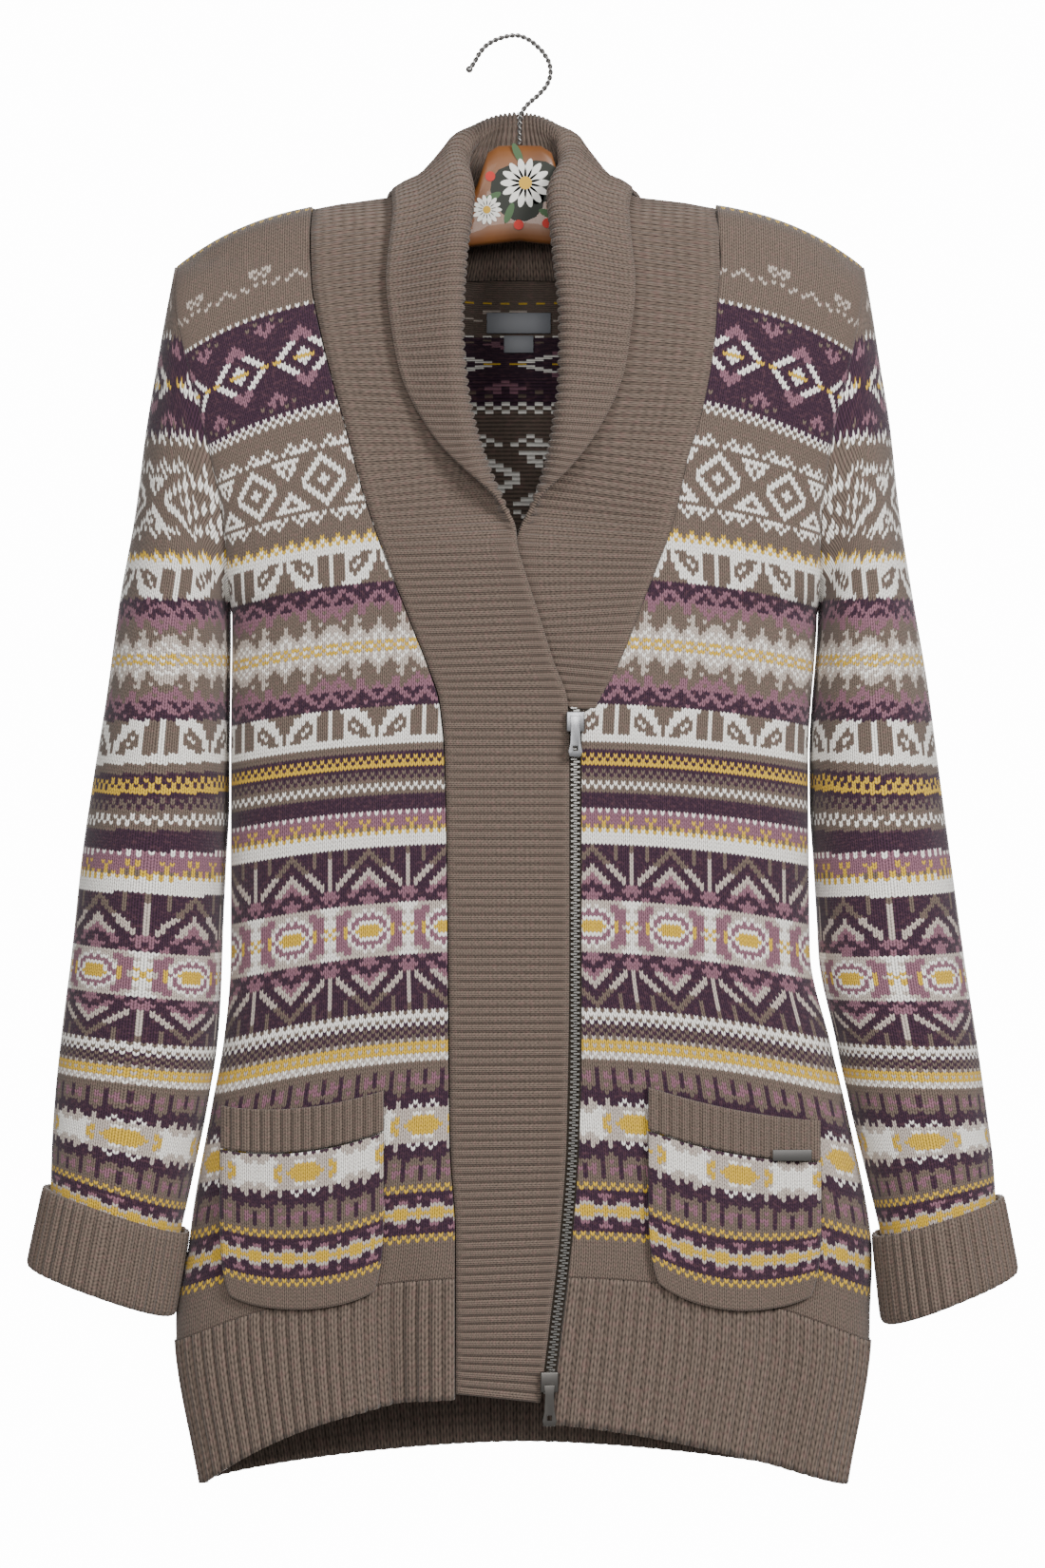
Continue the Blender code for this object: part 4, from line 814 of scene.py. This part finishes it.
COLLAR_LEFT = (
    # seam_x, seam_z, side, roll_x, roll_y, roll_z, curl, radius, sag, out_x, out_y, out_z
    (44.0, -404.0, -1, 30.0, -54.8, -404.0, 0, 5, 0, 0, -1, 0),
    (45.5, -391.0, -1, 22.0, -54.8, -389.0, 0, 5, 0, 0, -1, 0),
    (51.0, -383.0, -1, 16.0, -54.8, -379.0, 0, 5, 0, 0, -1, 0),
    (69.8, -346.0, -1, 3.0, -54.8, -350.0, 0, 5, 0, 0, -1, 0),
    (81.0, -318.0, -1, -3.0, -55.0, -316.0, 1, 10, 0, 0, -1, 0),
    (88.2, -298.0, -1, 6.0, -55.5, -291.0, 12, 9, 0, 0, -1, 0),
    (94.0, -277.0, -1, 15.5, -56.5, -265.0, 28, 8, 0, 0, -1, 0),
    (103.4, -241.0, -1, 21.5, -57.0, -237.0, 42, 7, 0, 0, -1, 0),
    (110.8, -210.0, -1, 25.0, -56.5, -205.0, 52, 6.5, 0, 0, -1, 0),
    (114.5, -184.0, -1, 25.3, -56.0, -176.0, 58, 7, 1, 0, -1, 0),
    (117.6, -149.0, -1, 22.0, -51.0, -136.0, 64, 7, 3, 0, -1, 0.1),
    (117.6, -118.0, -1, 19.0, -30.0, -98.0, 64, 6.5, 8, 0.1, -0.8, 0.6),
    (116.6, -101.2, 1, 27.0, 0.0, -72.0, 60, 6, 14, 0.4, 0.0, 1),
    (112.0, -103.0, 1, 27.0, 4.0, -68.5, 64, 6.3, 14, 0.5, 0.2, 1),
    (100.0, -115.0, 1, 27.0, 15.0, -57.0, 82, 7, 12, 0.5, 0.5, 0.7),
    (68.0, -131.2, 1, 21.0, 26.0, -49.0, 104, 8, 6, 0.35, 0.9, 0.3),
    (33.0, -139.1, 1, 10.5, 31.0, -43.0, 112, 8.5, 2, 0.15, 1, 0.1),
    (0.0, -138.7, 1, 0.0, 32.0, -41.0, 114, 9, 0, 0, 1, 0),
)
COLLAR_RIB = 4.9                   # from one rib to the next
NECK_DROP, NECK_INSET = 2.5, 2.2   # how far the collar laps down inside the back's neck
COLLAR_COLUMNS = ("seam_x", "seam_z", "side", "roll_x", "roll_y", "roll_z", "curl", "radius", "sag",
                  "out_x", "out_y", "out_z")
COLLAR_ACROSS = (0.0, 0.02, 0.2, 0.34, 0.45, 0.55, 0.66, 0.98, 1.0)
FLAT_SHARES = (0.0, 0.03, 0.2, 0.36, 0.52, 0.68, 0.84, 0.97, 1.0)
EDGE_GAP = 6.5                     # least gap between the middles of the two layers
FALL_SLOPE = 0.25                  # how fast that gap closes below the roll
FULL_CURL = 40.0                   # curled length past which the points follow the roll


def collar_stations(rows, seam, gap):
    """A table of the stations with their distance along the collar; front seams follow the front's edge."""
    table = {name: [row[k] for row in rows] for k, name in enumerate(COLLAR_COLUMNS)}
    for k, side in enumerate(table["side"]):
        if side < 0:
            table["seam_x"][k] = track(seam, "z", "x", table["seam_z"][k]) + gap
    table["seam_y"] = [body_y(x, z, side) + side * SEAM / 2
                       for x, z, side in zip(table["seam_x"], table["seam_z"], table["side"])]
    middles = [Vector(((a + d) / 2, (b + e) / 2, (c + f) / 2)) for a, b, c, d, e, f in zip(
        table["seam_x"], table["seam_y"], table["seam_z"], table["roll_x"], table["roll_y"], table["roll_z"])]
    along = [0.0]
    for first, second in zip(middles, middles[1:]):
        along.append(along[-1] + (second - first).length)
    table["along"] = along
    return table


def collar_point(table, s, t):
    """Point of the collar: s runs along it, and t from the seam (0) round the roll to the free edge (1)."""
    row = {name: track(table, "along", name, s) for name in table if name not in ("along", "side")}
    seam = Vector((row["seam_x"], row["seam_y"], row["seam_z"]))
    roll = Vector((row["roll_x"], row["roll_y"], row["roll_z"]))
    hint = Vector((row["out_x"], row["out_y"], row["out_z"]))
    radius, curl = row["radius"], row["curl"]
    chord = (roll - seam).normalized()
    out = (hint - chord * hint.dot(chord)).normalized()
    middle = (seam + roll) / 2 - out * row["sag"]
    heading = (roll - middle).normalized()
    out = (hint - heading * hint.dot(heading)).normalized()
    turn = min(math.pi, curl / radius)
    opened = min(1.0, turn / (math.pi / 2))
    start = roll - (heading + out) * radius * opened
    control = middle - out * radius * opened * 0.5
    lower, arc = (start - seam).length, turn * radius
    rest = max(curl - arc, 0.0)
    stages = (0, lower * 0.03, lower / 2, lower, lower + arc / 3, lower + arc * 2 / 3, lower + arc,
              lower + arc + rest * 0.96, lower + arc + rest)
    curled = float(np.interp(t, COLLAR_ACROSS, stages))
    flat = float(np.interp(t, COLLAR_ACROSS, FLAT_SHARES)) * stages[-1]
    share = min(curl / FULL_CURL, 1.0)
    run = share * curled + (1 - share) * flat
    bend = seam * 0.25 + control * 0.5 + start * 0.25
    first = (bend - seam).normalized()

    def under(k):
        place = seam + (bend - seam) * 2 * k if k < 0.5 else bend + (start - bend) * (2 * k - 1)
        return place, first.lerp(heading, min(max(k * 2.5 - 0.75, 0.0), 1.0)).normalized()

    if run <= lower:
        return under(run / lower)[0]
    if run <= lower + arc or rest <= 0:
        angle = min((run - lower) / radius, turn)
        return start + out * radius + (heading * math.sin(angle) - out * math.cos(angle)) * radius
    fallen = run - lower - arc
    base, along = under(1 - fallen / lower)
    rise = (hint - along * hint.dot(along)).normalized()
    gap = max(EDGE_GAP, 2 * radius - FALL_SLOPE * fallen)
    return base + rise * gap


COLLAR_WIDE = 26                   # quads across the collar, from its seam to its free edge
COLLAR_SAMPLES = 6                 # rows of points across each rib
COLLAR_RIB_HEIGHT = 2.2
for hand, out in (("right", 1), ("left", -1)):
    seam, gap = (RIGHT_SEAM, SEAM / 2) if hand == "right" else (LEFT_SEAM, 0.6)
    table = collar_stations(COLLAR_RIGHT if hand == "right" else COLLAR_LEFT, seam, gap)
    for k, side in enumerate(table["side"]):
        if side > 0:
            table["seam_z"][k] -= NECK_DROP
            table["seam_y"][k] -= NECK_INSET
    table["seam_x"][-1] = table["roll_x"][-1] = 0.0
    length = table["along"][-1]
    rib_count = round(length / COLLAR_RIB)
    coarse = sampled(lambda t, s: collar_point(table, s, t), (0, 1), (0.0, length), (61, round(length / 5)))
    across = np.linspace(0, 1, COLLAR_WIDE + 1)
    points = fine(coarse, across, np.linspace(0, 1, rib_count * COLLAR_SAMPLES + 1))
    relief, inside = (np.array(ribs(points.shape[:2], COLLAR_SAMPLES, COLLAR_RIB_HEIGHT, 0, start))
                      for start in (0, COLLAR_SAMPLES // 2))
    for k, share in ((0, 0.0), (1, 0.5), (-1, 0.0), (-2, 0.6)):
        relief[:, k] *= share
        inside[:, k] *= share
    stitches = places(points)[..., ::-1] * np.array([-1 / 3, 1.5])
    cloth = Layers()
    cloth.sheet(points, out, WALL / 2 - 0.2, stitches, None, relief, False, inside)
    piece = cloth.build("ribbed_collar_" + hand, RIBBED, PALETTE)
    hung(piece, "collar_" + hand)

# ================================================================ pockets
# Two patch pockets of the same stranded knit with a ribbed welt along each mouth.
# Their sides and foot are sewn to the fronts, and they lie close to them.
POCKET_LIFT = 4.6                  # from the middle of the front's cloth to the middle of the patch
POCKET_BELLY = 1.2                 # how far the patch's mouth stands away
POCKET_START = 236                 # chart row under the welt
POCKET_ROWS, POCKET_COLUMNS = 42, 39
WELT_RIB = 1.9                     # height of the welt's ribs
POCKET = {     # places on the fronts: X across, Z down at the edges and how far each edge line sags
    "right": {"x": (-176.0, -79.0), "welt_top": (-638.0, -627.0, -5.0), "seam": (-663.0, -651.0, -6.0),
              "foot": (-749.0, -745.0, -9.0), "ribs": 16},
    "left": {"x": (76.0, 178.0), "welt_top": (-625.0, -646.0, -3.0), "seam": (-650.0, -670.0, -4.0),
             "foot": (-740.0, -749.0, -12.0), "ribs": 17},
}


def pocket_line(line, u):
    first, last, sag = line
    return first + (last - first) * u + sag * 4 * u * (1 - u)


def pocket_point(spec, u, v):
    """Point of a pocket: v runs from the welt's top (0) over its seam (1) to the patch's foot (2)."""
    top, seam, foot = (pocket_line(spec[name], u) for name in ("welt_top", "seam", "foot"))
    z = top + (seam - top) * v if v <= 1 else seam + (foot - seam) * (v - 1)
    x = spec["x"][0] + (spec["x"][1] - spec["x"][0]) * u
    corner = max(0.0, v - 1) ** 6 * 6.0
    x += corner * (1 - 2 * u) ** 3
    open_mouth = math.sin(math.pi * u) * max(0.0, 1 - v / 2)
    return Vector((x, body_y(x, z, -1) - SEAM / 2 - POCKET_LIFT - POCKET_BELLY * open_mouth, z))


for hand in ("right", "left"):
    spec = POCKET[hand]
    coarse = sampled(lambda u, v: pocket_point(spec, u, v), (0, 1), (0, 2), (31, 41))
    points = fine(coarse, np.linspace(0, 1, POCKET_COLUMNS + 1), np.linspace(0.505, 1, POCKET_ROWS + 1))
    cloth = Layers()
    numbers = straight(POCKET_START, POCKET_ROWS, POCKET_COLUMNS)
    cloth.sheet(points, -1, WALL / 2, places(points), charted(numbers, (POCKET_COLUMNS + 1) // 2))
    piece = cloth.build("pocket_patch_" + hand, JACQUARD, PALETTE)
    hung(piece, "pocket_" + hand)
    piece = ribbed_sheet("pocket_rib_" + hand, coarse, np.linspace(0, 1, spec["ribs"] * RIB_SAMPLES + 1),
                         np.linspace(0, 0.495, 14), RIB_SAMPLES, -1, WALL / 2 - 0.2, WELT_RIB)
    hung(piece, "pocket_welt_" + hand)

# ================================================================ zip
# A metal chain of small interlocking teeth on dark woven tapes, with a bright slider and pull at the
# top and a dark pair at the bottom. The pulls swing on their sliders' bridges.


def plain_mesh(name, points, faces, made):
    mesh = bpy.data.meshes.new(name)
    mesh.from_pydata([tuple(p) for p in np.asarray(points) * 0.001], [], faces)
    mesh.validate()
    mesh.materials.append(made)
    piece = bpy.data.objects.new(name, mesh)
    bpy.context.scene.collection.objects.link(piece)
    return piece


def tube(first, rings, around):
    """Faces of a tube of rings of points, with both of its ends closed."""
    last = first + (rings - 1) * around
    faces = [(k + j, k + (j + 1) % around, k + around + (j + 1) % around, k + around + j)
             for k in range(first, last, around) for j in range(around)]
    return faces + [tuple(range(first, first + around))[::-1], tuple(range(last, last + around))]


def metal(name, colour, roughness):
    shader = Shader(name, roughness, 1.0)
    shader.surface.inputs["Base Color"].default_value = (*colour, 1)
    return shader.made


def zip_middle(z):
    x = track(ZIP, "z", "x", z)
    return x, body_y(x, z, -1) - SEAM / 2


DARK = metal("dark_metal", (0.16, 0.15, 0.14), 0.35)
TEETH_METAL = metal("zip_teeth", (0.36, 0.35, 0.33), 0.3)
BRIGHT = metal("bright_metal", (0.3, 0.3, 0.31), 0.32)
tape_shader = Shader("zip_tape", 0.9)
tape_shader.surface.inputs["Base Color"].default_value = (*linear(84, 74, 64), 1)
CUBE = np.array([(x, y, z) for x in (-1, 1) for y in (-1, 1) for z in (-1, 1)], float)
CUBE_FACES = ((0, 1, 3, 2), (4, 6, 7, 5), (0, 4, 5, 1), (2, 3, 7, 6), (0, 2, 6, 4), (1, 5, 7, 3))


def boxes(name, items, made):
    """Small boxes in one mesh, each a middle and half sizes."""
    points, faces = [], []
    for middle, half in items:
        first = len(points)
        points += [np.array(middle) + corner * np.array(half) for corner in CUBE]
        faces += [tuple(first + k for k in face) for face in CUBE_FACES]
    return plain_mesh(name, points, faces, made)


TOOTH_STEP = 1.5
TOOTH_OFFSET, TOOTH_HALF = 0.75, (1.7, 1.0, 0.42)    # the thin part that meshes with the other side
CLAMP_OFFSET, CLAMP_HALF = 1.8, (0.8, 1.3, 0.55)     # the thick part that grips the tape
teeth = []
for k in range(round((ZIP_TOP - ZIP_BOTTOM) / TOOTH_STEP)):
    z = ZIP_TOP - 1 - k * TOOTH_STEP
    x, y = zip_middle(z)
    way = 1 if k % 2 else -1
    teeth.append(((x + way * TOOTH_OFFSET, y, z), TOOTH_HALF))
    teeth.append(((x + way * CLAMP_OFFSET, y - 0.2, z), CLAMP_HALF))
fixed(boxes("zip_teeth", teeth, TEETH_METAL), "zip_chain")
TAPE_WIDTH = 26.0
TAPE_FRONT, TAPE_BACK = 2.6, 3.5     # depths of its faces behind the chain's middle
levels = np.linspace(ZIP_TOP - 1, ZIP_BOTTOM, 60)
strip = []
for z in levels:
    x, y = zip_middle(z)
    for side, deep in ((-1, TAPE_FRONT), (1, TAPE_FRONT), (1, TAPE_BACK), (-1, TAPE_BACK)):
        strip.append((x + side * TAPE_WIDTH / 2, y + deep, z))
piece = plain_mesh("zip_tapes", strip, tube(0, len(levels), 4), tape_shader.made)
fixed(piece, "zip_tape")

SQUARE = ((-1, -1), (1, -1), (1, 1), (-1, 1))
TAB = ((-0.8, -1), (0.8, -1), (1, -0.75), (0.72, -0.3), (0.62, 0.5), (0.75, 1), (-0.75, 1), (-0.62, 0.5),
       (-0.72, -0.3), (-1, -0.75))


def slab(name, low, high, cuts, made, bevel, outline=SQUARE):
    """A plate with rounded edges that fills a box, with a slot cut through it where cuts gives one."""
    middle, half = (low + high) / 2, (high - low) / 2
    count = len(outline)
    points = [(np.array(middle) + np.array(half) * (x, y, z)) * 1000 for y in (-1, 1) for x, z in outline]
    faces = [(k, count + k, count + (k + 1) % count, (k + 1) % count) for k in range(count)]
    faces += [tuple(range(count)), tuple(range(count, 2 * count))[::-1]]
    piece = plain_mesh(name, points, faces, made)
    bpy.ops.object.select_all(action="DESELECT")
    if cuts:
        cut_low, cut_high = cuts
        bpy.ops.mesh.primitive_cube_add(size=2, location=(0, 0, 0))
        knife = bpy.context.object
        knife.data.transform(Matrix.Translation((cut_low + cut_high) / 2)
                             @ Matrix.Diagonal((*((cut_high - cut_low) / 2), 1)))
        change = piece.modifiers.new("slot", "BOOLEAN")
        change.object, change.operation = knife, "DIFFERENCE"
        bpy.context.view_layer.objects.active = piece
        bpy.ops.object.modifier_apply(modifier="slot")
        bpy.data.objects.remove(knife)
    soft = piece.modifiers.new("edges", "BEVEL")
    soft.width, soft.segments, soft.limit_method = bevel, 3, "ANGLE"
    bpy.context.view_layer.objects.active = piece
    bpy.ops.object.modifier_apply(modifier="edges")
    piece.data.shade_smooth()
    piece.data.set_sharp_from_angle(angle=math.radians(35))
    return piece


SLOT_FOOT, SLOT_SIDE, SLOT_TALL = 0.14, 0.34, 0.12   # the pull's slot, as shares of its height and width
for end, made, slot in (("top", BRIGHT, "bright_metal"), ("bottom", DARK, "dark_metal")):
    low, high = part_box("zip_slider_" + end)
    fixed(slab(f"zip_slider_body_{end}", low, high, None, made, 0.0008), "zip_slider_" + end)
    low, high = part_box("zip_pull_" + end)
    wide, tall = high.x - low.x, high.z - low.z
    foot = low.z + tall * SLOT_FOOT
    cut = (Vector((low.x + wide * SLOT_SIDE, low.y - 0.002, foot)),
           Vector((high.x - wide * SLOT_SIDE, high.y + 0.002, foot + tall * SLOT_TALL)))
    pull = slab(f"zip_tab_{end}", low, high, cut, made, 0.0004, TAB)
    fixed(pull, "zip_pull_" + end, "upper_pull" if end == "top" else "lower_pull")

# ================================================================ plate and labels
# A small blank pewter plate sewn to one welt, and two blank satin labels sewn inside the neck.
low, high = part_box("pocket_plate")
pewter = metal("plate_metal", (0.13, 0.125, 0.12), 0.45)
fixed(slab("blank_plate", low, high, None, pewter, 0.0003), "pocket_plate")
satin = Shader("label_satin", 0.45)
satin.surface.inputs["Base Color"].default_value = (*linear(92, 94, 100), 1)
for node in ("neck_label", "size_label"):
    low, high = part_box(node)
    piece = fixed(slab("blank_" + node, low, high, None, satin.made, 0.0002), node)

# ================================================================ hanger board
# A varnished wooden board with rounded edges and daisies painted on a dark ground at its middle.
# The garment's shoulders lie over it.
BOARD_THICK = 13.0
BOARD_HALF, BOARD_MIDDLE = 190, 0.6
BOARD_TOP = {"x": (0, 17, 22, 30, 45, 62, 85, 110, 140, 165, 186, 194),
             "z": (-64.5, -65, -79, -97, -108, -113, -116, -117, -118, -121, -129, -137)}
BOARD_FOOT = {"x": (0, 40, 85, 125, 160, 180, 190, 194), "z": (-122, -127, -141, -151, -157, -157, -150, -138)}
wood = Shader("painted_wood", 0.4)
place = wood.flow(wood.node("TexCoord"), 3)
grain = wood.node("TexNoise", Vector=place, Scale=14.0, Detail=6.0, Distortion=1.5)
wood.link(wood.mix(wood.flow(grain), linear(90, 50, 20), linear(136, 84, 38)), "Base Color")
wood.surface.inputs["Coat Weight"].default_value = 0.15
columns = np.linspace(-BOARD_HALF, BOARD_HALF, 61)
outline = [(squared(math.cos(a), 4), squared(math.sin(a), 4))
           for a in np.linspace(0, 2 * math.pi, 24, endpoint=False)]
points = []
for x in columns:
    top, foot = track(BOARD_TOP, "x", "z", abs(x)), track(BOARD_FOOT, "x", "z", abs(x))
    for c, s in outline:
        points.append((x + BOARD_MIDDLE, c * BOARD_THICK / 2, (top + foot) / 2 + s * (top - foot) / 2))
board = plain_mesh("wooden_board", points, tube(0, len(columns), len(outline)), wood.made)
board.data.shade_smooth()
board.data.set_sharp_from_angle(angle=math.radians(50))
fixed(board, "hanger_board")


def paint(name, colour, roughness=0.7):
    made = Shader(name, roughness)
    made.surface.inputs["Base Color"].default_value = (*colour, 1)
    return made.made


STROKE_POINTS = 14
PETALS = 14


def painted(name, shapes, colour, lift):
    """Flat strokes of paint on the board's front: each a place, length, width, turn and start."""
    points, faces = [], []
    for x, z, length, width, turn, start in shapes:
        first = len(points)
        for k in range(STROKE_POINTS):
            a = 2 * math.pi * k / STROKE_POINTS
            along, across = start + length * (1 + math.cos(a)) / 2, width / 2 * math.sin(a)
            points.append((x + along * math.cos(turn) - across * math.sin(turn), -BOARD_THICK / 2 - lift,
                           z + along * math.sin(turn) + across * math.cos(turn)))
        faces.append(tuple(range(first, first + STROKE_POINTS)))
    fixed(plain_mesh(name, points, faces, paint(name, colour)), "hanger_board")


painted("painted_ground", [(-12, -80, 36, 30, -0.9, 0), (-4, -92, 30, 26, 0.3, 0)], linear(38, 40, 32), 0.15)
leaves, petals, hearts, dots = [], [], [], []
for x, z, turn in ((-22, -100, 0.5), (-8, -112, 1.2), (12, -104, -0.4), (2, -76, 2.0), (18, -90, 0.9)):
    leaves.append((x, z, 13, 4.5, turn, 0))
for x, z, size in ((4, -88, 15), (-19, -104, 9)):
    petals += [(x, z, size - 2, size * 0.3, 2 * math.pi * k / PETALS, 2) for k in range(PETALS)]
    hearts.append((x - size * 0.26, z, size * 0.52, size * 0.52, 0, 0))
for x, z in ((-20, -84), (-3, -113), (14, -112)):
    dots.append((x, z, 6, 6, 0, 0))
painted("painted_leaves", leaves, linear(70, 96, 62), 0.3)
painted("painted_petals", petals, linear(238, 236, 228), 0.45)
painted("painted_hearts", hearts, linear(206, 162, 48), 0.6)
painted("painted_dots", dots, linear(186, 44, 34), 0.45)

# ================================================================ hook
# Two steel wires twisted together and bent to a hook, with a ball at the tip.
# Its stem is driven into the board's top.
HOOK = ((-29.6, -18.9), (-26.8, -15.2), (-24.0, -9.7), (-19.9, -4.6), (-13.7, -0.9), (-5.7, 1.4), (0.6, 1.6),
        (7.4, -1.7), (14.3, -8.0), (18.6, -14.8), (19.4, -21.7), (17.1, -28.5), (11.4, -34.8), (5.4, -39.6),
        (1.2, -45.0), (0.6, -52.0), (0.6, -64.0))
STRAND_RADIUS, STRAND_OFFSET = 0.85, 0.72   # each wire, and its middle from the pair's middle
TWIST = 7.0                                 # length of one turn of the twist
RINGS_ALONG, RING_POINTS = 260, 8
SMOOTHING = 40                              # passes that round the bends
TIP_RADIUS = 0.0021
steel = metal("hook_wire", (0.3, 0.29, 0.28), 0.3)
line = np.array([(x, 0.0, z) for x, z in HOOK])
steps = np.concatenate(([0.0], np.cumsum(np.linalg.norm(np.diff(line, axis=0), axis=1))))
even = np.linspace(0, steps[-1], RINGS_ALONG)
path = np.stack([np.interp(even, steps, line[:, k]) for k in range(3)], 1)
for _ in range(SMOOTHING):
    path[1:-1] = (path[:-2] + path[1:-1] * 2 + path[2:]) / 4
tangent = np.gradient(path, axis=0)
tangent /= np.linalg.norm(tangent, axis=1, keepdims=True)
across = np.cross(tangent, (0, 1, 0))
deep = np.array((0.0, 1.0, 0.0))
points, faces = [], []
for strand in range(2):
    turn = even / TWIST * 2 * math.pi + strand * math.pi
    centre = path + STRAND_OFFSET * (across * np.cos(turn)[:, None] + deep * np.sin(turn)[:, None])
    for k, place in enumerate(centre):
        for j in range(RING_POINTS):
            a = 2 * math.pi * j / RING_POINTS
            points.append(place + STRAND_RADIUS * (across[k] * math.cos(a) + deep * math.sin(a)))
    faces += tube(strand * RINGS_ALONG * RING_POINTS, RINGS_ALONG, RING_POINTS)
wire = plain_mesh("twisted_wire", points, faces, steel)
wire.data.shade_smooth()
bpy.ops.object.select_all(action="DESELECT")
bpy.ops.mesh.primitive_uv_sphere_add(segments=24, ring_count=12, radius=TIP_RADIUS)
ball = bpy.context.object
ball.name = "hook_tip"
for vertex in ball.data.vertices:
    vertex.co += Vector(path[0]) * 0.001
ball.data.materials.append(steel)
ball.data.shade_smooth()
for piece in (wire, ball):
    fixed(piece, "hanger_hook")

# ================================================================ backdrop, light and camera
# A bright white screen well behind, so that the back can be seen too, soft light from the front that
# is strongest on the right, and the photo's own camera.
wall_shader = Shader("backdrop", 0.95)
wall_shader.surface.inputs["Base Color"].default_value = (0.93, 0.93, 0.93, 1)
wall_shader.surface.inputs["Emission Color"].default_value = (1, 1, 1, 1)
wall_shader.surface.inputs["Emission Strength"].default_value = 14.0
bpy.ops.object.select_all(action="DESELECT")
bpy.ops.mesh.primitive_plane_add(size=7, location=(0, 7.5, -0.45), rotation=(math.pi / 2, 0, 0))
wall = bpy.context.object
wall.name = "backdrop"
wall.data.materials.append(wall_shader.made)


def lamp(name, place, target, size, power):
    light = bpy.data.lights.new(name, "AREA")
    light.size, light.energy = size, power
    made = bpy.data.objects.new(name, light)
    made.location = place
    made.rotation_euler = (Vector(target) - Vector(place)).to_track_quat("-Z", "Y").to_euler()
    bpy.context.scene.collection.objects.link(made)


lamp("key", (1.5, -2.0, 0.7), (0, 0, -0.45), 0.9, 72)
lamp("fill", (-1.0, -2.3, 0.2), (0, 0, -0.4), 1.2, 24)
lamp("front", (0.1, -2.3, 0.1), (0, 0, -0.3), 0.5, 14)
world = bpy.data.worlds.new("studio")
bpy.context.scene.world = world
world.use_nodes = True
world.node_tree.nodes["Background"].inputs[0].default_value = (1, 1, 1, 1)
world.node_tree.nodes["Background"].inputs[1].default_value = 0.36
CAMERA_DISTANCE = 2.4
PHOTO_HEIGHT = 0.9405    # height of the photo at the zip's distance, in metres
lens = bpy.data.cameras.new("photo_camera")
lens.lens = lens.sensor_width * CAMERA_DISTANCE / PHOTO_HEIGHT
camera = bpy.data.objects.new("photo_camera", lens)
camera.location = (0.0023, -CAMERA_DISTANCE, -0.4475)
camera.rotation_euler = (math.pi / 2, 0, 0)
bpy.context.scene.collection.objects.link(camera)
bpy.context.scene.camera = camera
